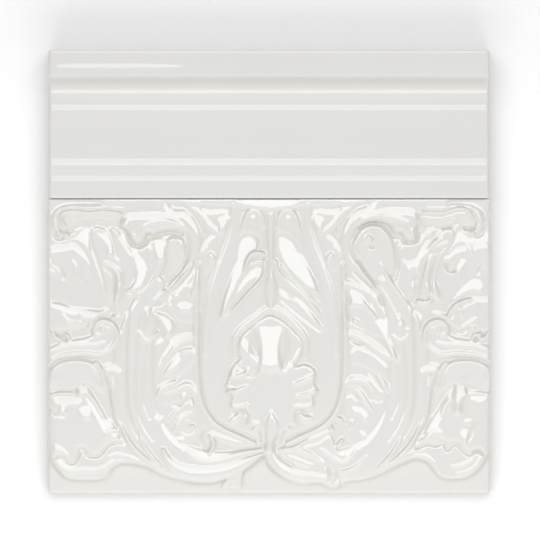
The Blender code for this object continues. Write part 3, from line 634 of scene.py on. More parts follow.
def draw_palmette(relief):
    """The palmette: its body, fan of petals, side lobes and hood."""
    relief.leaf(2.2, 1.1, (0.6, 61.8), (-3, 60.4), (-6.4, 57.6), (-9.4, 55), (-10.8, 52), (-10.9, 49),
                (-10.2, 46.6), (-12.2, 44.6), (-13.8, 41.6), (-14.2, 39.8), (-15.3, 37.2), (-14.4, 35),
                (-12.9, 33.4), (-13.6, 31), (-12.8, 28.8), (-10.8, 28.2), (-8.8, 28.9), (-7.4, 27),
                (-7.8, 23), (-4, 22.6), (-1.4, 20), (0.6, 17), (3.4, 20.2), (6.4, 22.8), (9.4, 23.6),
                (9.2, 27), (10.2, 29.3), (13, 28.4), (15.2, 29.3), (15.8, 32), (15.4, 33.4),
                (17.4, 35.4), (15.9, 38), (16.4, 41.6), (15, 43.6), (12.2, 44.8), (9, 44.2), (11.6, 48),
                (12, 52.6), (9.6, 55.6), (5.2, 59.6), lean=0.3)
    relief.ramp(1.3, 0.085, 0.4, (-3.4, 57), (0.5, 57.3), (4.6, 57), (3.9, 50), (4.8, 44.6),
                (7.4, 41.8), (6.4, 40.2), (3, 41), (0, 40.2), (-2.6, 41), (-5.6, 39.2), (-4.4, 42.6),
                (-3.6, 46), (-3.2, 50))
    relief.ramp(0.9, 0.12, 0.5, (-10.6, 52.6), (-9.2, 53.4), (-7.4, 52.6), (-6.6, 50), (-5, 47.6),
                (-3.2, 46.8), (-3, 42), (-4.2, 43.8), (-7, 46), (-9.8, 49.6))
    relief.ramp(0.9, 0.12, 0.5, (6.3, 42.2), (8, 46), (10.2, 50), (11.3, 50), (10.2, 45.4), (8.4, 42.8))
    relief.groove(0.5, (0.6, 1.9, 1.4), (-4.9, 56.4), (-5.2, 52), (-4.4, 48.4))
    relief.groove(0.5, (0.6, 1.6, 1.0), (6.2, 56.4), (6.2, 50), (5.2, 43.8))
    relief.groove(0.5, (0.4, 0.7, 0.4), (-11.6, 44), (-9, 43), (-7.6, 41), (-6.4, 40.4), (-4.2, 41.4),
                  (-3.4, 43.4))
    relief.lobe(2.7, (1.0, 1.6, 0.6), (-13, 40.4), (-10, 40.8), (-7.4, 41.6))
    relief.lobe(2.75, (1.1, 1.7, 0.5), (-13.8, 35.2), (-11, 35.6), (-7.6, 37))
    relief.lobe(2.6, (0.9, 1.3, 0.5), (-12.4, 30), (-10, 30), (-7.4, 30.6))
    relief.ramp(0.4, 0.3, 0.5, (-13.4, 41.8), (-12, 42), (-12.2, 40.2), (-13.4, 40.4))
    relief.ramp(0.4, 0.3, 0.5, (-8, 43.2), (-6.8, 43.4), (-6.9, 41.4), (-8, 41.6))
    relief.ramp(0.5, 0.3, 0.5, (-14.2, 36.4), (-12.6, 36.8), (-11.4, 35.2), (-12, 33.9), (-13.6, 34.8))
    relief.ramp(0.4, 0.3, 0.5, (-8.6, 30.4), (-7, 30.6), (-6.8, 28.6), (-8, 28.8))
    relief.ramp(0.4, 0.3, 0.5, (-5.6, 24.8), (-3.4, 24.8), (-3.6, 23), (-5.4, 23.2))
    relief.ramp(0.5, 0.25, 0.5, (10.2, 37.2), (12, 39.8), (14.6, 41.2), (15, 39.6), (12.6, 38))
    relief.ramp(0.5, 0.25, 0.5, (12, 33.5), (13.2, 35), (16, 35.8), (16.4, 34.8), (14, 33.8))
    relief.ramp(0.4, 0.3, 0.5, (9, 30), (10.4, 31), (11.2, 30.4), (9.8, 29.4))
    relief.lobe(2.75, (0.5, 1.8, 1.2), (8.6, 37.6), (12, 39), (14.8, 40.2))
    relief.lobe(2.7, (0.5, 1.5, 1.1), (9.4, 33.6), (13, 34.2), (16, 35.2))
    relief.lobe(2.6, (0.5, 1.2, 0.9), (8.8, 29.9), (12, 30), (14.6, 30.6))
    relief.groove(0.5, (0.3, 0.8, 0.3), (-12.6, 27.9), (-11, 27.5), (-9, 28), (-7.4, 27))
    relief.groove(0.5, (0.3, 0.8, 0.3), (14.6, 27.8), (12.8, 27.5), (10.4, 28.4))
    relief.bank(2.3, (0.5, 0.9, 0.5), (-5.6, 21.8), (-3.2, 22.4), (-2.2, 20.4), (-2, 17.6))
    relief.bank(2.3, (0.5, 0.9, 0.5), (7.2, 22.2), (5, 22.4), (4, 20.2), (3, 17.6))
    relief.bank(2.0, (1.0, 1.5, 1.0), (-13, 24.8), (-11.4, 25.4), (-9.6, 27.2))
    relief.bank(2.0, (1.0, 1.4, 1.0), (14.6, 25.6), (12.4, 25.2), (10.6, 27))
    relief.bank(1.9, (0.7, 1.4, 0.7), (-11.8, 47), (-12, 51), (-11.5, 54.2), (-8.6, 57.5), (-4.6, 60.4),
                (-1.8, 62.6), (0.8, 63.4), (4.4, 62), (8.4, 58.6), (12.2, 54.2), (12.9, 50.6),
                (12.6, 46.6))


def draw_knot(relief):
    """The pointed bud at the palmette's foot."""
    relief.leaf(2.85, 1.5, (0.6, 29.6), (-0.8, 27), (-1.7, 24), (-1.7, 21), (-1.4, 17.6), (-1.2, 14),
                (1.6, 14), (2, 18), (3.4, 20.8), (4, 23.4), (3, 26.4))


def draw_tail(relief):
    """The tail of the knot along the lower edge, to the small knot of petals at its tip."""
    relief.bank(2.3, (1.5, 2.5, 1.6), (0.2, 17), (0.9, 13.4), (3, 9.8), (7, 7.2), (12, 5.9), (17, 5.6),
                (20, 5.4), lean=-0.2)
    relief.bank(2.5, (0.4, 0.9, 0.4), (-1.2, 16), (-0.6, 12.8), (1, 9.6), (3.4, 7))
    relief.bank(2.5, (0.4, 0.8, 0.4), (8.6, 9.9), (11, 9), (13.6, 8.4))
    relief.bank(2.5, (0.5, 0.9, 0.4), (7.6, 6.6), (11, 5.9), (15.4, 5.8))
    relief.leaf(1.9, 0.9, (17, 5.4), (18.2, 8.6), (20.4, 9.4), (22.8, 8), (24.2, 5.4), (24.6, 2.8),
                (22.4, 1.8), (19.6, 2.6), lean=0.3)
    for x, y in ((19.5, 7.5), (22.1, 6.3), (17.5, 5.1)):
        relief.bank(2.5, (0.6, 0.8, 0.6), (x, y + 0.6), (x, y - 0.5))
    relief.groove(0.5, (0.3, 0.6, 0.3), (20.6, 9), (20.9, 6), (20.6, 3.6))
    relief.groove(0.5, (0.3, 0.6, 0.3), (23.2, 7.6), (23.6, 5.6), (23, 3.6))


def draw_right_foot(relief):
    """The right-hand lower scroll: its crossing folds, V-shaped leaf and outer roll."""
    relief.leaf(1.9, 1.4, (3.4, 15), (9, 17.6), (15, 20.4), (20.6, 22), (21.6, 18), (23, 14.6),
                (19, 11), (14, 9.4), (9, 10.6), (5, 12.6), lean=0.2)
    relief.bank(2.5, (0.4, 1.1, 0.4), (4.8, 15.1), (9, 15.6), (12.4, 17.6), (13.6, 18.4))
    relief.bank(2.5, (0.4, 1.1, 0.5), (4.8, 14.8), (10, 14.9), (14, 13.4), (16.4, 11.8), (18.4, 10.3))
    relief.groove(0.35, (0.4, 0.9, 0.4), (7, 13.4), (11, 12.2), (15.2, 10.4))
    relief.groove(0.35, (0.4, 0.9, 0.4), (11, 16.6), (16, 17.6), (20.6, 20.2))
    relief.leaf(1.7, 1.2, (19, 15.4), (22, 13), (24.6, 10.9), (27, 11.8), (30.6, 15), (34, 18),
                (37, 17), (35, 12), (31, 8.6), (26, 6.6), (21, 8), (17.6, 10.8), lean=0.3)
    relief.bank(2.4, (0.4, 1.0, 0.5), (17.8, 15), (20.4, 13.2), (22.6, 11.6), (24.6, 10.2))
    relief.bank(2.4, (0.5, 1.1, 0.4), (24.4, 10.2), (26.8, 10.8), (28.6, 12.6), (30.2, 14.8))
    relief.bank(2.6, (0.6, 1.3, 0.5), (23.6, 7.3), (27, 7.6), (30.4, 9.2), (33.8, 12.4), lean=-0.2)
    relief.bank(2.0, (0.6, 1.3, 0.6), (21.2, 19.4), (21.6, 16.8), (22.8, 14.4), (24.2, 12.8), power=1.0)
    relief.bank(2.1, (0.4, 0.8, 0.4), (25.2, 18.6), (24.6, 17.2), (23.3, 16.2))
    relief.bank(2.3, (0.8, 0.9, 0.8), (21.4, 22.6), (21.6, 21.8))
    relief.bank(2.1, (0.4, 0.8, 0.4), (23, 25.8), (25, 25.2), (25.2, 24))


def draw_right_corner_leaf(relief):
    """The right-hand lower leaf: its blade with a scalloped foot over a rolled rim."""
    relief.leaf(2.0, 1.5, (38, 7), (42, 8.6), (46, 10.2), (50, 11.7), (53, 11.4), (55.6, 9.6),
                (57.6, 6.8), (60, 5.2), (64, 4.8), (68, 5.4), (71, 7), (73.6, 9.8), (75.4, 14),
                (75.8, 19), (70, 18), (64, 19), (58, 20), (52, 19), (46, 14.6), (41, 10.6))
    relief.bank(2.4, (0.5, 1.5, 0.6), (63, 9), (66.4, 9.2), (70.2, 11.2))
    relief.bank(2.3, (0.5, 0.9, 0.5), (64.6, 6.6), (68.4, 7.4), (71.2, 9.2), (72.8, 12))
    relief.bank(2.4, (0.4, 1.0, 0.5), (43, 9.4), (46, 12), (49.4, 14), (53.4, 14.8))
    relief.bank(2.3, (0.4, 0.9, 0.5), (46, 10.8), (49, 12.6), (52.6, 13), (55.4, 11.8), (57.2, 10))
    relief.floor = LEAF_FOOT
    relief.leaf(2.3, 3.2, (50.4, 16.2), (53, 17.2), (55.6, 17.6), (57.6, 17.2), (60, 18.4),
                (61.4, 15.2), (62.6, 17.2), (65, 17.4), (67.4, 14.9), (69, 13.8), (70.6, 14.6),
                (72.2, 15), (74, 13.8), (75.8, 15), (76.6, 33), (73, 35.6), (69, 37), (65, 37.6),
                (62, 35), (59.4, 31), (56, 25.6), (53, 20.6), (51, 18.4), lean=0.7)
    relief.floor = MASS_LEVEL
    relief.groove(0.7, (0.4, 0.9, 0.4), (50.4, 15.6), (54.6, 16.8), (57.8, 16.4), (60, 17.6),
                  (61.6, 14.8), (63, 16.6), (65, 16.8), (67, 14.6), (69, 13.2), (70.8, 14),
                  (72.2, 14.4), (74.2, 13.2))
    relief.ramp(1.2, 0.11, 0.5, (59.2, 27), (60.4, 31), (63, 34), (64, 36.4), (64.5, 39.8), (67, 40.5),
                (70.4, 40.4), (69.4, 38.8), (68.1, 37), (68.8, 35.2), (72.6, 34.8), (72.4, 33.8),
                (69, 33.5), (67.3, 31.8), (66.6, 29), (66.6, 26.7), (63.5, 26.7), (63.6, 30),
                (62.8, 31.4), (61, 29.4), (59.8, 26.6))
    relief.ramp(0.6, 0.2, 0.5, (53.8, 19.8), (56, 21.6), (58.4, 22.4), (60, 21), (59.4, 19.6),
                (56.6, 19.9))
    relief.ramp(0.6, 0.16, 0.5, (65.8, 19.6), (66.6, 21.9), (67.9, 22), (68.8, 20), (67.8, 15.6),
                (66.9, 17))
    relief.ramp(0.4, 0.2, 0.5, (67, 25), (68.6, 25.6), (70.4, 25.1), (69.2, 23.8), (67.4, 23.8))
    relief.groove(0.7, (0.5, 1.1, 0.5), (70.4, 14.2), (72.2, 14.6), (74.2, 13.2))
    relief.groove(0.4, (0.4, 0.8, 0.4), (71, 25), (70, 21.4), (68.8, 18))


def draw_right_lobes(relief):
    """The right-hand fan of lobes between the top scroll, the corner and the volute."""
    relief.plate(2.2, (66, 86, 1.9), (66, 67, 0.7), (57.4, 67), (58, 74), (59.6, 80), (62, 82.6),
                 (65, 85), (70, 86), (75.8, 86.4), (77.6, 80), (77.6, 67), (70, 66.6), (63, 65.6))
    relief.leaf(1.8, 1.0, (51.4, 66), (50.8, 72), (51.8, 79), (53.4, 84), (57, 88), (61, 91.6),
                (64, 90.4), (63, 86), (59.6, 81), (57.6, 74), (57.2, 67), (54, 65.4))
    relief.leaf(1.7, 1.0, (43, 70), (44.6, 78), (44.8, 85), (48, 87), (52, 87.4), (55, 91), (57, 90),
                (53, 84), (51, 78), (50.2, 70), (48, 66.6))
    relief.facet(0.7, (48, 89, 1.1), (49, 75, 2.3), (45.4, 81.4), (47.2, 79.9), (50.2, 80.2),
                 (51.3, 83), (52.4, 86.2), (54.6, 88.8), (56.4, 87.4), (54.6, 85.4), (53.2, 81.6),
                 (51.9, 76.6), (51.2, 75.2), (50, 77.2), (48.7, 76), (48, 74.2), (47, 77.2))
    relief.ramp(0.7, 0.14, 0.5, (49.3, 72.4), (50.9, 73.4), (50.2, 68.6), (49.3, 68.8))
    relief.bank(2.2, (0.7, 1.6, 1.0), (55.4, 83.4), (54.4, 77), (53.8, 71), (53.8, 66.6))
    relief.groove(0.6, (0.4, 0.8, 0.4), (55.6, 82.8), (53.4, 77.6), (52, 72.6), (51.6, 68))
    relief.groove(0.6, (0.4, 0.8, 0.4), (58, 82), (56.5, 78), (56, 73.6), (56, 69))
    relief.groove(0.6, (0.4, 0.9, 0.4), (55.8, 83), (58.4, 83.8), (61, 85))
    relief.raise_by(0.35, (0.4, 0.9, 0.4), (55.4, 84.4), (57.8, 86.6), (59.4, 87.6))
    relief.raise_by(0.35, (0.4, 0.8, 0.4), (57.4, 84.6), (59.6, 85.4), (61, 86.2))
    relief.ramp(0.5, 0.2, 0.5, (54.2, 72.6), (55.6, 72.6), (55.4, 69), (54.4, 69))
    relief.ramp(0.9, 0.22, 0.5, (56.2, 72.9), (57.9, 72.9), (59.2, 66.6), (57, 67))
    relief.bank(2.3, (1.0, 1.5, 1.0), (51.4, 66), (53.6, 65.4), (55.6, 66.2))
    relief.groove(0.6, (0.4, 0.7, 0.4), (51.4, 67.4), (53.4, 66.9), (55.6, 67.6))
    relief.ramp(1.2, 0.12, 0.5, (61.2, 83.2), (63.6, 86.4), (65.4, 89.9), (68, 88.4), (69.8, 87.4),
                (72.6, 87.7), (76.4, 89.8), (76.6, 86), (73, 86.3), (70, 85.9), (71, 82.6), (69.6, 82),
                (67.6, 85.2), (64.6, 85.1), (62, 82.2))
    relief.groove(0.8, (0.8, 1.3, 0.8), (61.2, 79.4), (62, 77.2), (63.8, 76.6))
    relief.ramp(0.8, 0.12, 0.5, (63.1, 75.4), (64.8, 79), (66.4, 81.2), (68.7, 80.2), (67.4, 77),
                (64.8, 72.6), (64.6, 75))
    relief.groove(0.5, (0.4, 0.8, 0.4), (74.2, 79.4), (72.6, 77.4), (72.2, 75.6))
    relief.ramp(0.9, 0.13, 0.5, (63, 65.8), (65.6, 69.6), (68.6, 72.6), (71.4, 73.8), (73.6, 72),
                (73.4, 68.8), (70, 69), (66.2, 67.6))
    relief.leaf(1.7, 1.2, (57.4, 63), (62, 61), (64, 64.4), (68, 67), (72, 67.6), (77.4, 66),
                (77.4, 57), (72, 56), (66, 56.4), (62, 58.4), (60, 60.4))
    relief.bank(2.2, (0.5, 1.0, 0.5), (61.6, 60.6), (63.6, 63.8), (66.2, 65.6), (69.4, 66.8))
    relief.groove(0.5, (0.4, 0.8, 0.4), (65.4, 64.2), (68, 65.6), (70.6, 66.2))
    relief.raise_by(0.4, (0.5, 0.9, 0.5), (66.2, 63.8), (66.3, 62), (67, 60.8))
    relief.raise_by(0.35, (0.4, 0.9, 0.4), (56.8, 62), (59.4, 61), (61.8, 60.4), (62.5, 57.2))
    relief.raise_by(0.35, (0.4, 0.9, 0.4), (66.4, 56.6), (68.8, 58.2), (71.2, 60))
    relief.groove(0.6, (0.4, 0.8, 0.4), (65.4, 55.4), (67.6, 56.2), (69.4, 57.6))
    relief.bank(2.3, (0.8, 0.9, 0.7), (72.4, 54.8), (72.5, 53.8))
    relief.bank(2.3, (0.8, 1.0, 0.7), (69.9, 57.4), (70.9, 56.6))


def draw_right_scroll(relief):
    """The right-hand top scroll with its eye, the overhanging lip and the corner cap."""
    relief.leaf(2.2, 2.4, (42, ABOVE), (35, 101), (30.6, 98.4), (27, 95.6), (24.6, 91), (24.4, 86),
                (26, 80.6), (29.4, 76), (33, 72.6), (36.2, 70.4), (37, 71.4), (34, 75.6), (30.4, 80.6),
                (28.9, 85), (29.4, 89), (30.6, 91.6), (33, 93), (36, 93.7), (39, 93.4), (41.6, 92.2),
                (42.7, 90), (43.9, 89.2), (45.2, 89.6), (46.4, 87.9), (48.5, 87), (50.6, 87.5),
                (51.2, 90), (51.4, 92), (53.2, 93.8), (52.6, 97), (56, 98.8), (62, 100), (66, ABOVE),
                lean=0.4)
    relief.ramp(0.5, 0.24, 0.4, (31, 92.6), (33.4, 95.8), (37.4, 97.4), (42, 98.2), (48, 98),
                (50.6, 96.9), (51.2, 93), (50.4, 88.4), (48.4, 87.6), (46.6, 88.6), (45, 90.2),
                (43.8, 89.9), (42.4, 92.4), (39, 94), (35, 93.9))
    relief.raise_by(0.3, (0.4, 0.9, 0.4), (38, 95.5), (42.6, 94.9), (47.8, 93.3))
    relief.bank(3.0, (0.6, 0.8, 0.6), (49.5, 90.8), (49.6, 89.8))
    relief.plate(1.0, (36, 93, 2.5), (36, 73, 1.4), (29.2, 85), (30.6, 90.2), (34, 92.6), (38, 92.6),
                 (41, 90), (43, 86), (43.4, 78), (41, 73), (37.4, 72), (33, 77), (30.4, 81), lean=0.2)
    relief.groove(0.8, (0.5, 1.1, 0.5), (31, 91.3), (34, 92.8), (38, 93), (41, 91.8), (42.4, 89.6),
                  (43.8, 88.6), (45.2, 89), (46.4, 87.2), (48.5, 86.4), (50.8, 87.1), (51.8, 90))
    relief.bank(2.45, (0.6, 1.3, 0.6), (34.4, 90.7), (32, 89.7), (30.4, 87.4), (29.4, 85), (30.6, 82.2),
                lean=0.2)
    relief.bank(3.0, (1.3, 1.9, 1.3), (34.4, 88.2), (34.8, 86.8))
    relief.ramp(0.6, 0.1, 0.4, (32.3, 89.8), (33.6, 89.8), (33.8, 86.6), (32.6, 86))
    relief.groove(0.9, (0.5, 0.9, 0.5), (35.1, 84.9), (35.6, 84.8))
    relief.ramp(0.4, 0.1, 0.4, (36.6, 86.2), (38, 86.2), (38, 84.4), (36.7, 84.2))
    relief.bank(2.4, (0.5, 1.1, 0.5), (29.8, 79.4), (32.4, 75.6), (36.6, 70.4))
    relief.groove(0.6, (0.4, 0.7, 0.4), (31, 80.4), (33.6, 76), (37, 72))
    relief.groove(0.6, (0.4, 0.6, 0.4), (29.4, 76.4), (32, 73.6), (35, 71))
    relief.leaf(2.2, 2.4, (38, ABOVE), (38, 97.8), (46, 97.8), (52, 97.6), (56, 97), (60, 97.2),
                (64, 98.4), (67, 98.7), (69.8, 97.2), (70.6, 95), (72, 91.4), (73.4, 91), (74.6, 93.4),
                (73.8, 97), (71.6, 99), (67, 100), (58, 100.3), (45, 101), (42, ABOVE))
    relief.facet(0.8, (60, 96.6, 2.0), (60, 91, 0.9), (52.6, 96), (56, 95.6), (60, 95.7), (66, 97.4),
                 (69, 96), (70, 93.6), (68, 91.4), (65, 92.6), (60, 91.6), (56, 91.4), (53.6, 93))
    relief.bank(2.5, (0.5, 0.9, 0.5), (51.8, 97), (54.6, 96.6), (60, 96.6), (64, 97.8), (67, 98),
                (69.4, 96.6), (70.2, 94.6))
    relief.ramp(0.4, 0.25, 0.4, (61.4, 94), (62.8, 95.2), (65, 95.2), (65.8, 94), (64, 92.8), (62, 93))
    relief.groove(0.5, (0.4, 0.7, 0.4), (57.4, 91.8), (61.8, 91.8), (65.2, 93.2))
    relief.groove(0.9, (0.8, 1.2, 0.8), (67.4, 91.4), (70.6, 91.2))
    relief.bank(2.3, (0.6, 0.8, 0.6), (68.4, 96.4), (68.6, 95.6))
    relief.bank(2.3, (0.6, 0.9, 0.6), (71.7, 92.4), (72.1, 91.4))
    relief.bank(2.1, (0.6, 0.9, 0.6), (69.8, 90.1), (70.6, 89.4))
    relief.groove(0.6, (0.6, 1.0, 0.5), (74.4, 92), (73, 89.2), (70.8, 88.4))


def draw_right_bud(relief):
    """The right-hand bud in its cup and the long folds that fall beside it."""
    relief.bank(2.2, (1.2, 2.7, 1.2), (45.6, 61.8), (45.2, 57.6), (45.3, 54.6), power=0.5)
    relief.bank(2.5, (0.7, 0.9, 0.6), (45.1, 58), (45.3, 56.6))
    relief.bank(2.2, (0.4, 0.8, 0.4), (42.6, 54.2), (45.5, 52.4), (48, 54.6))
    relief.leaf(1.5, 1.0, (24.8, 70), (27, 73.6), (31, 71.6), (35.6, 69.2), (38.4, 66), (40.6, 61),
                (41.6, 54), (36, 54), (31, 56.4), (26.4, 58), (25.2, 64), lean=0.0)
    relief.ramp(0.7, 0.2, 0.5, (25, 71), (25.8, 73), (27.4, 73.9), (30, 71.9), (35.4, 69.2),
                (34.8, 68.5), (30, 70.3), (27, 71))
    relief.ramp(0.9, 0.18, 0.5, (27.4, 69.8), (30, 69.9), (32.6, 67.4), (33.8, 64), (27.2, 63.8),
                (28, 67))
    relief.bank(2.2, (0.5, 0.8, 0.4), (32, 66), (34.6, 62.8), (37.6, 59.6))
    relief.facet(1.2, (36.6, 66.4, 0.9), (42, 46, 2.6), (34.8, 66.6), (36.1, 66), (38, 61.9),
                 (40.9, 60.3), (41.5, 58), (41.7, 54), (43.5, 49), (45, 45), (43.4, 45.6), (40.2, 50.4),
                 (37.2, 56), (35.7, 60), (36.8, 61.4))
    relief.bank(2.3, (0.4, 0.9, 0.5), (38.4, 79), (40.6, 75), (43, 71), (47.4, 65))
    relief.groove(0.5, (0.4, 0.9, 0.4), (38.4, 72.4), (41.4, 68), (44.4, 63.2), (47.8, 57))
    relief.groove(0.6, (0.8, 1.2, 0.6), (38.4, 68.4), (39.4, 65))
    relief.ramp(0.9, 0.12, 0.5, (49.5, 62.5), (52.7, 61.2), (52.4, 57), (51.8, 54), (51, 57.6))
    relief.groove(0.6, (0.4, 0.9, 0.4), (27, 70), (27, 64.4), (28.6, 59.4), (33, 56.4))
    relief.bank(2.1, (0.7, 0.9, 0.7), (29.4, 59.6), (30.4, 58.8))
    relief.raise_by(0.3, (0.4, 0.8, 0.4), (25.9, 67), (25.9, 60), (26.2, 55.4))


def draw_right_acanthus(relief):
    """The right-hand acanthus leaf along the lyre's rim."""
    relief.leaf(1.5, 2.0, (43, 47), (38, 51), (32, 55), (27.6, 56), (26.4, 50), (26, 42), (25.8, 32),
                (25.4, 21), (30, 15.6), (37, 16), (41.4, 25), (42, 38), lean=0.0)
    relief.ramp(1.1, 0.2, 0.6, (27.4, 54.4), (28, 56.2), (30.4, 56), (34, 54), (39, 50.6), (44.6, 47),
                (42, 45.8), (38.4, 47.2), (34.6, 50), (31, 52.6))
    relief.groove(0.7, (0.4, 0.9, 0.4), (27.8, 53.6), (30, 52), (32.6, 51.2))
    relief.leaf(1.8, 1.0, (28.2, 44.4), (28, 48.6), (30, 50.4), (33.4, 49.6), (37.4, 47.4), (41, 43.6),
                (40.4, 40), (36, 41.6), (32, 43.4), lean=0.0)
    relief.lobe(2.1, (0.6, 1.8, 0.6), (26.4, 36.6), (27.6, 38.8), (30.2, 39.4), (33.2, 38.6),
                (36, 36.2))
    relief.bank(2.1, (0.5, 1.7, 0.5), (28.4, 36.8), (30.8, 35.2), (32.8, 32.4), (35.4, 29), lean=-0.4,
                power=1.0)
    relief.bank(2.1, (0.5, 1.4, 0.5), (37.6, 40.4), (39.6, 37.8), (41.2, 35), lean=-0.4)
    relief.groove(0.4, (0.4, 0.9, 0.4), (34.4, 42), (36.6, 39.4), (39, 35.4))
    relief.groove(0.5, (0.4, 0.8, 0.4), (35.8, 32.6), (38.6, 31.8))
    relief.ramp(0.8, 0.16, 0.5, (28.4, 29.6), (31, 29.6), (33.4, 28.2), (34.3, 26.4), (34.1, 24.3),
                (32.5, 24.7), (31, 26.8), (29.4, 26.9))
    relief.groove(0.4, (0.5, 1.0, 0.5), (26.4, 33.4), (28.4, 34.4), (30.4, 32.4))
    relief.bank(2.1, (0.5, 0.8, 0.4), (28.7, 24.8), (28.6, 23.2), (27.4, 22.4))
    relief.ramp(0.6, 0.2, 0.5, (31, 21.2), (32.6, 21.2), (33.8, 19.4), (32.2, 18.4))


def draw_right_mass(relief):
    """The low mass under the right half, down to its own wavy outline."""
    relief.leaf(MASS_LEVEL, 1.8, (0.6, 12), (2, 8), (4, 5.6), (8, 3.6), (12, 2.8), (17, 3.2), (20, 2.2),
                (22.5, 1.6), (25, 2.5), (28, 4), (33, 5), (40, 7), (46, 9.8), (50, 11.5), (53, 11.3),
                (55.5, 9.5), (57.5, 6.5), (60, 5), (64, 4.7), (68, 5.2), (71, 6.8), (73.5, 9.5),
                (75.4, 14), (76.4, 20), (78, 40), (79, 80), (80, ABOVE), (10, ABOVE), (-3, ABOVE),
                (-3, 20))


def draw_mass(relief):
    """The low mass that the ornament stands on, down to its wavy lower outline."""
    relief.leaf(MASS_LEVEL, 1.8, (0.6, 12.6), (-3, 12.4), (-8, 9.8), (-13, 6.6), (-17, 5.2), (-21, 4.2),
                (-25, 3.7), (-30, 4), (-34, 5), (-38, 6.6), (-43, 8.8), (-47, 9.8), (-51, 9.8),
                (-54, 8), (-55.4, 5.4), (-58, 4.8), (-64, 4.4), (-70, 5.2), (-73, 8.4), (-75.2, 12),
                (-76, 18), (-77.5, 40), (-78, 80), (-79, ABOVE), (-40, ABOVE), (-10, ABOVE), (3, ABOVE),
                (5, 60), (3, 16))


def draw_half(relief):
    """Every form that the two halves share."""
    relief.leaf(2.1, 1.6, (-84, ABOVE), (-78, 102), (-68, 101), (-56, 100.4), (-46, 100.2),
                (-36, 100.2), (-29, 99.6), (-20, 98.8), (-10, 98.6), (2, 98.6), (2, ABOVE))
    draw_lyre(relief)
    draw_trunk(relief)
    draw_arch_lobe(relief)
    draw_volute(relief)


def draw_relief(length, height):
    """The whole ornament, both halves and the forms on the middle line."""
    relief = Relief(length, height)
    draw_mass(relief)
    draw_right_mass(relief)
    relief.floor = MASS_LEVEL
    for relief.side in (1, -1):
        draw_half(relief)
    relief.side = 1
    for draw in (draw_blades, draw_foot_scroll, draw_right_foot, draw_corner_leaf,
                 draw_upper_leaf, draw_corner_lobes, draw_long_fold, draw_top_band,
                 draw_top_scroll, draw_scroll_heart, draw_bud, draw_acanthus,
                 draw_right_corner_leaf, draw_right_lobes, draw_right_scroll, draw_right_bud,
                 draw_right_acanthus, draw_upright, draw_palmette):
        draw(relief)
    draw_tail(relief)
    draw_knot(relief)
    return relief


def blurred(field, sigma):
    """The field weighted by a bell curve of standard deviation sigma, in cells, first along
    the rows and then along the columns, with its edge values carried outwards."""
    reach = int(np.ceil(3.0 * sigma))
    offsets = np.arange(-reach, reach + 1)
    bell = np.exp(-0.5 * (offsets / sigma) ** 2)
    bell /= bell.sum()
    for axis in (0, 1):
        pad = [(0, 0), (0, 0)]
        pad[axis] = (reach, reach)
        wide = np.pad(field, pad, mode="edge")
        count = field.shape[axis]
        field = sum(weight * np.take(wide, np.arange(k, k + count), axis=axis)
                    for k, weight in enumerate(bell))
    return field


def grid_lines(low, high, cell, arris):
    """Grid lines from low to high: close together round the two arrises, even between."""
    close = arris * np.array([0.0, 0.06, 0.2, 0.42, 0.7])
    count = max(2, int(round((high - low - 2.0 * arris) / cell)))
    even = np.linspace(low + arris, high - arris, count + 1)
    return np.concatenate([low + close, even, high - close[::-1]])


def arris_drop(x, y, arris, sharp):
    """How far the glaze falls towards the tile's edges: a quarter circle of radius arris.

    The upper edge leaves out its steep outer part, of width sharp."""
    inside_x = np.minimum(x - x[0], x[-1] - x)[None, :]
    inside_y = np.minimum(y - y[0], y[-1] - y + sharp)[:, None]
    short_x = np.clip(arris - inside_x, 0.0, arris)
    short_y = np.clip(arris - inside_y, 0.0, arris)
    short = np.minimum(np.hypot(short_x, short_y), arris)
    return arris - np.sqrt(arris ** 2 - short ** 2)


def sampled(field, grid_x, grid_y, x, y):
    """The field between its grid points, weighted by distance to the four nearest ones."""
    column = np.clip((x - grid_x[0]) / FINE_CELL, 0.0, len(grid_x) - 1.001)
    row = np.clip((y - grid_y[0]) / FINE_CELL, 0.0, len(grid_y) - 1.001)
    i = column.astype(int)
    j = row.astype(int)
    u = (column - i)[None, :]
    v = (row - j)[:, None]
    low = field[np.ix_(j, i)] * (1.0 - u) + field[np.ix_(j, i + 1)] * u
    high = field[np.ix_(j + 1, i)] * (1.0 - u) + field[np.ix_(j + 1, i + 1)] * u
    return low * (1.0 - v) + high * v


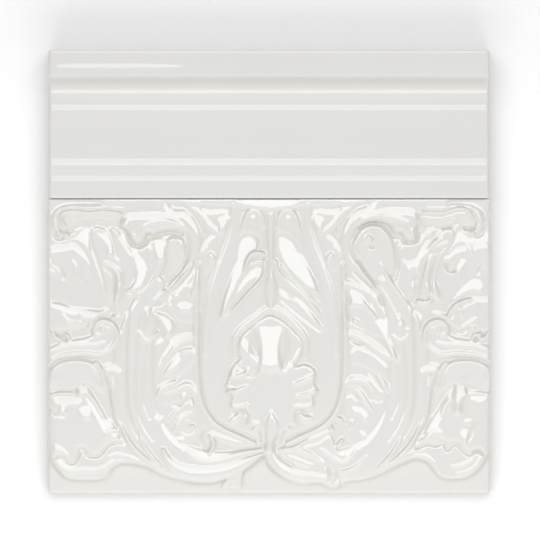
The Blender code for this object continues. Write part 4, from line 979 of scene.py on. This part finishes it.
def block_mesh(name, x, y, top, pool_and_shade):
    """A closed tile: a grid raised to top, walls down from its border, and a flat back.

    All lengths are metres. The share of pooled glaze and of painted shade in the hollows, from 0 to 1,
    is kept on the points for the material."""
    columns, rows = len(x), len(y)
    face = np.stack([np.broadcast_to(x, (rows, columns)),
                     np.broadcast_to(y[:, None], (rows, columns)), top], axis=-1)
    index = np.arange(rows * columns).reshape(rows, columns)
    border = np.concatenate([index[0, :-1], index[:-1, -1], index[-1, :0:-1], index[:0:-1, 0]])
    loop = face.reshape(-1, 3)[border]
    middle = np.array([(x[0] + x[-1]) / 2.0, (y[0] + y[-1]) / 2.0, 0.0])
    half = np.array([(x[-1] - x[0]) / 2.0, (y[-1] - y[0]) / 2.0])
    inset = np.concatenate([1.0 - BACK_ARRIS / half, [0.0]])
    low = loop * (1.0, 1.0, 0.0) + (0.0, 0.0, BACK_ARRIS)
    foot = middle + (loop - middle) * inset
    points = np.concatenate([face.reshape(-1, 3), loop * (1, 1, 0.5) + low * (0, 0, 0.5),
                             low, foot])
    count = len(border)
    ring = np.concatenate([border[None, :],
                           rows * columns + np.arange(3 * count).reshape(3, count)])
    quads = np.stack([index[:-1, :-1], index[:-1, 1:], index[1:, 1:], index[1:, :-1]],
                     axis=-1).reshape(-1, 4)
    after = np.roll(ring, -1, axis=1)
    walls = np.stack([ring[:-1], ring[1:], after[1:], after[:-1]], axis=-1).reshape(-1, 4)
    corners = np.concatenate([quads.ravel(), walls.ravel(), ring[-1][::-1]])
    faces = len(quads) + len(walls)
    mesh = bpy.data.meshes.new(name)
    mesh.vertices.add(len(points))
    mesh.vertices.foreach_set("co", points.astype(np.float32).ravel())
    mesh.loops.add(len(corners))
    mesh.loops.foreach_set("vertex_index", corners.astype(np.int32))
    mesh.polygons.add(faces + 1)
    mesh.polygons.foreach_set("loop_start", np.arange(faces + 1, dtype=np.int32) * 4)
    smooth = np.ones(faces + 1, dtype=bool)
    smooth[-1] = False
    mesh.polygons.foreach_set("use_smooth", smooth)
    mesh.update(calc_edges=True)
    mesh.validate()
    # Share of the darker pooled colour: pooled glaze and painted shade in the hollows
    pool_and_shade_attribute = mesh.attributes.new("pool_and_shade", "FLOAT", "POINT")
    values = np.zeros(len(points), dtype=np.float32)
    values[:rows * columns] = pool_and_shade.ravel()
    pool_and_shade_attribute.data.foreach_set("value", values)
    return mesh


def rail_section(down, sizes):
    """The rail's thickness in mm at distances down from its top edge in mm.

    Cubic curves run through the section's own heights, with the slope at each given one."""
    knots = np.array([(place, sizes.nose + rise, slope) for place, rise, slope in RAIL_NOSE]
                     + [(place, sizes.fillet + rise, slope) for place, rise, slope in RAIL_FACE])
    place = np.clip(np.searchsorted(knots[:, 0], down, side="right") - 1, 0, len(knots) - 2)
    a, b = knots[place], knots[place + 1]
    span = b[:, 0] - a[:, 0]
    u = (down - a[:, 0]) / span
    return ((2 * u ** 3 - 3 * u ** 2 + 1) * a[:, 1] + (u ** 3 - 2 * u ** 2 + u) * span * a[:, 2]
            + (3 * u ** 2 - 2 * u ** 3) * b[:, 1] + (u ** 3 - u ** 2) * span * b[:, 2])


def swell_drop(x, down):
    """How far the left part of the nose falls away from the faint swell along it."""
    swell = np.exp(-((down - SWELL_LINE) / SWELL_SPREAD) ** 2)[:, None]
    left = (np.clip((SWELL_ENDS[1] - x) / SWELL_FADES[1], 0.0, 1.0)
            * np.clip((x - SWELL_ENDS[0]) / SWELL_FADES[0], 0.0, 1.0))
    return SWELL_DROP * MM * (1.0 - swell) * left


def effect_group(name, sockets):
    """An empty shader node group with named sockets: (name, direction, kind, default)."""
    group = bpy.data.node_groups.new(name, "ShaderNodeTree")
    for label, direction, kind, value in sockets:
        socket = group.interface.new_socket(name=label, in_out=direction, socket_type=kind)
        if value is not None:
            socket.default_value = value
    return group


def linked(tree, kind, values=(), **settings):
    """A node of this kind, with the named properties and the values of its inputs set."""
    node = tree.nodes.new(kind)
    for key, value in settings.items():
        setattr(node, key, value)
    for key, value in dict(values).items():
        node.inputs[key].default_value = value
    return node


def wire(tree, *pairs):
    """Link sockets, each pair given as (node, output, node, input)."""
    for source, output, target, entry in pairs:
        tree.links.new(source.outputs[output], target.inputs[entry])


def glaze_group():
    """Glaze tone: the colour deepens where the glaze pools, which also paints shade into the hollows
    and creases;
    the tone varies faintly at random, and a faint ripple dims the mirror image as orange peel does."""
    group = effect_group("Glaze tone and painted shade", (
        ("Glaze", "INPUT", "NodeSocketColor", (0.7, 0.7, 0.68, 1.0)),
        ("Pooled and shaded", "INPUT", "NodeSocketColor", (0.5, 0.48, 0.44, 1.0)),
        ("Pool and shade", "INPUT", "NodeSocketFloat", 0.0),
        ("Body", "INPUT", "NodeSocketColor", (0.7, 0.6, 0.5, 1.0)),
        ("Bare", "INPUT", "NodeSocketFloat", 0.0),
        ("Color", "OUTPUT", "NodeSocketColor", None),
        ("Roughness", "OUTPUT", "NodeSocketFloat", None),
        ("Ripple", "OUTPUT", "NodeSocketFloat", None)))
    inside = linked(group, "NodeGroupInput")
    outside = linked(group, "NodeGroupOutput")
    place = linked(group, "ShaderNodeTexCoord")
    cloud = linked(group, "ShaderNodeTexNoise", {"Scale": 45.0, "Detail": 2.0})
    peel = linked(group, "ShaderNodeTexNoise", {"Scale": 320.0, "Detail": 1.0})
    pool_and_shade_mix = linked(group, "ShaderNodeMix", data_type="RGBA")
    shade = linked(group, "ShaderNodeMapRange", {"To Min": 0.985, "To Max": 1.015})
    toned = linked(group, "ShaderNodeVectorMath", operation="SCALE")
    body = linked(group, "ShaderNodeMix", data_type="RGBA")
    dull = linked(group, "ShaderNodeMapRange", {"To Min": 0.05, "To Max": 0.75})
    wire(group,
         (place, "Object", cloud, "Vector"), (place, "Object", peel, "Vector"),
         (inside, "Pool and shade", pool_and_shade_mix, "Factor"), (inside, "Glaze", pool_and_shade_mix, "A"),
         (inside, "Pooled and shaded", pool_and_shade_mix, "B"), (cloud, "Fac", shade, "Value"),
         (pool_and_shade_mix, "Result", toned, "Vector"), (shade, "Result", toned, "Scale"),
         (inside, "Bare", body, "Factor"), (toned, "Vector", body, "A"),
         (inside, "Body", body, "B"), (inside, "Bare", dull, "Value"),
         (body, "Result", outside, "Color"), (dull, "Result", outside, "Roughness"),
         (peel, "Fac", outside, "Ripple"))
    return group


def glaze_material(name, glaze, index, colors):
    """White gloss glaze on the face and sides, darkened towards its pooled colour in the hollows as
    pooled glaze and painted shade, and bare fired body on the back.
    """
    material = bpy.data.materials.new(name)
    material.use_nodes = True
    tree = material.node_tree
    shader = tree.nodes["Principled BSDF"]
    shader.inputs["IOR"].default_value = index
    group = bpy.data.node_groups.get("Glaze tone and painted shade") or glaze_group()
    tone = linked(tree, "ShaderNodeGroup", node_tree=group)
    for key, color in (("Glaze", glaze), ("Pooled and shaded", colors.pooled_and_shade), ("Body", colors.body)):
        tone.inputs[key].default_value = (*color, 1.0)
    # The hollow share: pooled glaze and painted shade in the creases
    pool_and_shade = linked(tree, "ShaderNodeAttribute", attribute_name="pool_and_shade")
    place = linked(tree, "ShaderNodeTexCoord")
    split = linked(tree, "ShaderNodeSeparateXYZ")
    bare = linked(tree, "ShaderNodeMapRange",
                  {"From Min": BARE_BELOW[1], "From Max": BARE_BELOW[0]},
                  interpolation_type="SMOOTHSTEP")
    ripple = linked(tree, "ShaderNodeBump", {"Strength": 0.06, "Distance": 0.0002})
    wire(tree,
         (pool_and_shade, "Fac", tone, "Pool and shade"), (place, "Object", split, "Vector"),
         (split, "Z", bare, "Value"), (bare, "Result", tone, "Bare"),
         (tone, "Color", shader, "Base Color"), (tone, "Roughness", shader, "Roughness"),
         (tone, "Ripple", ripple, "Height"), (ripple, "Normal", shader, "Normal"))
    return material


def place_piece(mesh, material, node):
    """Put a finished mesh in the scene in place of its solid in the frame."""
    mesh.materials.append(material)
    piece = bpy.data.objects.new(mesh.name, mesh)
    bpy.context.scene.collection.objects.link(piece)
    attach(piece, "root")
    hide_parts(node)


class DadoTileSizes(bpy.types.PropertyGroup):
    """Sizes a user would change, in millimetres."""
    nose: bpy.props.FloatProperty(
        name="Nose thickness", description="Thickness of the rail at its top band, in mm",
        default=RAIL_HIGH.z / MM, min=8.0, max=30.0)
    fillet: bpy.props.FloatProperty(
        name="Fillet thickness", description="Thickness of the rail at its upper fillet, in mm",
        default=10.6, min=5.0, max=25.0)
    arris: bpy.props.FloatProperty(
        name="Arris radius", description="Rounding of the tiles' glazed edges, in mm",
        default=0.9, min=0.2, max=2.0)
    relief: bpy.props.FloatProperty(
        name="Relief depth", description="Scale of the relief's height, 1 as moulded",
        default=1.0, min=0.2, max=1.2)


class DadoTileColors(bpy.types.PropertyGroup):
    """Colours of the glaze, of its darker pooled tone that also paints shade in the hollows, and of the
    body under it.
    """
    glaze: bpy.props.FloatVectorProperty(
        name="Glaze", description="Colour of the white glaze", subtype="COLOR",
        default=(0.712, 0.707, 0.694), min=0.0, max=1.0)
    frieze: bpy.props.FloatVectorProperty(
        name="Frieze glaze", description="Colour of the frieze's slightly warmer glaze",
        subtype="COLOR", default=(0.722, 0.715, 0.69), min=0.0, max=1.0)
    pooled_and_shade: bpy.props.FloatVectorProperty(
        name="Pooled glaze and painted shade", description="Colour of the glaze where it lies thick, also painted as shade in the hollows",
        subtype="COLOR", default=(0.64, 0.61, 0.555), min=0.0, max=1.0)
    body: bpy.props.FloatVectorProperty(
        name="Fired body", description="Colour of the bare back", subtype="COLOR",
        default=(0.66, 0.60, 0.50), min=0.0, max=1.0)


class DadoTileStage(bpy.types.PropertyGroup):
    """The stage around the tile."""
    floor: bpy.props.FloatVectorProperty(
        name="Floor", description="Colour of the plain floor", subtype="COLOR",
        default=(0.92, 0.92, 0.92), min=0.0, max=1.0)
    sky: bpy.props.FloatProperty(
        name="Soft light", description="Strength of the light from all round",
        default=0.375, min=0.0, max=5.0)
    softbox: bpy.props.FloatProperty(
        name="Softbox", description="Power of the softbox beyond the rail, in watts",
        default=26.0, min=0.0, max=100.0)
    fill: bpy.props.FloatProperty(
        name="Fill light", description="Power of the low fill light at the frieze's foot, in watts",
        default=1.1, min=0.0, max=10.0)


class DADO_OT_rail(bpy.types.Operator):
    """Build the glazed rail from its moulded section"""
    bl_idname = "dado.rail"
    bl_label = "Rail tile"

    def execute(self, context):
        sizes = context.scene.dado_tile_sizes
        colors = context.scene.dado_tile_colors
        arris = sizes.arris * MM
        x = grid_lines(RAIL_LOW.x, RAIL_HIGH.x, RAIL_CELLS[0], arris)
        y = grid_lines(RAIL_LOW.y - JOINT_LAP * MM, RAIL_HIGH.y, RAIL_CELLS[1], arris)
        down = (RAIL_HIGH.y - y) / MM
        thick = rail_section(down, sizes) * MM
        top = thick[:, None] - arris_drop(x, y, arris, RAIL_SHARP * arris) - swell_drop(x, down)
        # Painted shade: where the section dips, the glaze turns to the darker pooled colour, as pooled
        # glaze and as shade in the quirk and cove
        hollow = blurred(np.tile(thick[:, None], (1, 3)), RAIL_POOL_AND_SHADE_ROWS)[:, 1] - thick
        pool_and_shade = np.clip(hollow / (RAIL_POOL_AND_SHADE * MM), 0.0, 1.0)[:, None] * np.ones_like(x)
        mesh = block_mesh("glazed_rail", x, y, top, pool_and_shade)
        material = glaze_material("rail glaze", colors.glaze, RAIL_INDEX, colors)
        place_piece(mesh, material, "dado_rail_tile")
        return {"FINISHED"}


class DADO_OT_frieze(bpy.types.Operator):
    """Build the glazed frieze with its moulded ornament"""
    bl_idname = "dado.frieze"
    bl_label = "Embossed frieze tile"

    def execute(self, context):
        sizes = context.scene.dado_tile_sizes
        colors = context.scene.dado_tile_colors
        length = (FRIEZE_HIGH.x - FRIEZE_LOW.x) / MM
        height = (FRIEZE_HIGH.y - FRIEZE_LOW.y) / MM
        relief = draw_relief(length, height)
        surface = blurred(relief.z, GLAZE_BLUR / FINE_CELL)
        x = grid_lines(-length / 2.0, length / 2.0, FRIEZE_CELL, sizes.arris)
        y = grid_lines(0.0, height + JOINT_LAP, FRIEZE_CELL, sizes.arris)
        # Painted shade: in the relief's hollows and creases, the glaze turns to the darker pooled
        # colour, as pooled glaze and as shade
        hollow = blurred(surface, POOL_AND_SHADE_BLUR / FINE_CELL) - surface
        raised = sampled(surface, relief.x, relief.y, x, y) * sizes.relief
        top = GROUND + raised - arris_drop(x, y, sizes.arris, FRIEZE_SHARP * sizes.arris)
        pool_and_shade = np.clip(sampled(hollow, relief.x, relief.y, x, y) / FRIEZE_POOL_AND_SHADE, 0.0, 1.0)
        mesh = block_mesh("glazed_frieze", x * MM, FRIEZE_LOW.y + y * MM, top * MM, pool_and_shade)
        material = glaze_material("frieze glaze", colors.frieze, FRIEZE_INDEX, colors)
        place_piece(mesh, material, "embossed_frieze_tile")
        return {"FINISHED"}


class DADO_OT_stage(bpy.types.Operator):
    """Set the floor, the lights and the camera"""
    bl_idname = "dado.stage"
    bl_label = "Stage"

    def execute(self, context):
        stage = context.scene.dado_tile_stage
        add_floor(stage)
        add_sky(context.scene, stage)
        add_softbox("north softbox", *NORTH_LIGHT, stage.softbox, True)
        add_softbox("foot fill", *FOOT_LIGHT, stage.fill, False)
        add_camera(context.scene)
        context.scene.view_settings.view_transform = "Standard"
        return {"FINISHED"}


def add_floor(stage):
    """A wide plain floor under the tiles."""
    reach = 3.0
    corners = [(x * reach, y * reach, 0.0) for x, y in ((-1, -1), (1, -1), (1, 1), (-1, 1))]
    mesh = bpy.data.meshes.new("floor")
    mesh.from_pydata(corners, [], [(0, 1, 2, 3)])
    material = bpy.data.materials.new("floor")
    material.use_nodes = True
    shader = material.node_tree.nodes["Principled BSDF"]
    shader.inputs["Base Color"].default_value = (*stage.floor, 1.0)
    shader.inputs["Roughness"].default_value = 0.9
    mesh.materials.append(material)
    floor = bpy.data.objects.new("floor", mesh)
    bpy.context.scene.collection.objects.link(floor)


def add_sky(scene, stage):
    """Even light from all round, a little stronger on the side away from the softbox."""
    world = bpy.data.worlds.new("studio")
    scene.world = world
    world.use_nodes = True
    tree = world.node_tree
    back = tree.nodes["Background"]
    back.inputs["Color"].default_value = (1.0, 1.0, 1.0, 1.0)
    place = linked(tree, "ShaderNodeTexCoord")
    split = linked(tree, "ShaderNodeSeparateXYZ")
    ramp = linked(tree, "ShaderNodeMapRange",
                  {"From Min": -1.0, "From Max": 1.0, "To Min": 2.0 * stage.sky, "To Max": 0.0})
    wire(tree,
         (place, "Generated", split, "Vector"), (split, "Y", ramp, "Value"),
         (ramp, "Result", back, "Strength"))


def add_softbox(name, spot, size, power, mirrored):
    """A rectangular soft light at a spot, facing the tile's middle, which the glaze mirrors
    or not."""
    lamp = bpy.data.lights.new(name, "AREA")
    lamp.shape = "RECTANGLE"
    lamp.size, lamp.size_y = size
    lamp.energy = power
    item = bpy.data.objects.new(name, lamp)
    item.location = spot
    item.visible_glossy = mirrored
    item.rotation_euler = (-Vector(spot)).to_track_quat("-Z", "Y").to_euler()
    bpy.context.scene.collection.objects.link(item)


def add_camera(scene):
    """A long lens straight above the tile, framed as the photograph is in the plane of the
    relief."""
    camera = bpy.data.cameras.new("camera")
    camera.lens = LENS
    camera.sensor_width = SENSOR
    item = bpy.data.objects.new("camera", camera)
    distance = PHOTO_WIDTH * PIXEL * MM * LENS / SENSOR
    item.location = (*CAMERA_SPOT, GROUND * MM + RELIEF_PLANE + distance)
    scene.collection.objects.link(item)
    scene.camera = item


class DADO_PT_panel(bpy.types.Panel):
    """Panel with the tile's sizes, colours and pieces"""
    bl_label = "Dado rail tile"
    bl_idname = "DADO_PT_panel"
    bl_space_type = "VIEW_3D"
    bl_region_type = "UI"
    bl_category = "Dado tile"

    def draw(self, context):
        layout = self.layout
        for group in (context.scene.dado_tile_sizes, context.scene.dado_tile_colors,
                      context.scene.dado_tile_stage):
            for name in group.__annotations__:
                layout.prop(group, name)
        for piece in PIECES:
            layout.operator(piece.bl_idname)


PIECES = (DADO_OT_rail, DADO_OT_frieze, DADO_OT_stage)
GROUPS = (("dado_tile_sizes", DadoTileSizes), ("dado_tile_colors", DadoTileColors),
          ("dado_tile_stage", DadoTileStage))


def register():
    for name, group in GROUPS:
        bpy.utils.register_class(group)
        setattr(bpy.types.Scene, name, bpy.props.PointerProperty(type=group))
    for item in (*PIECES, DADO_PT_panel):
        bpy.utils.register_class(item)


def unregister():
    for item in (*PIECES, DADO_PT_panel):
        bpy.utils.unregister_class(item)
    for name, group in GROUPS:
        delattr(bpy.types.Scene, name)
        bpy.utils.unregister_class(group)


def main():
    register()
    bpy.ops.dado.rail()
    bpy.ops.dado.frieze()
    bpy.ops.dado.stage()


if __name__ == "__main__":
    main()
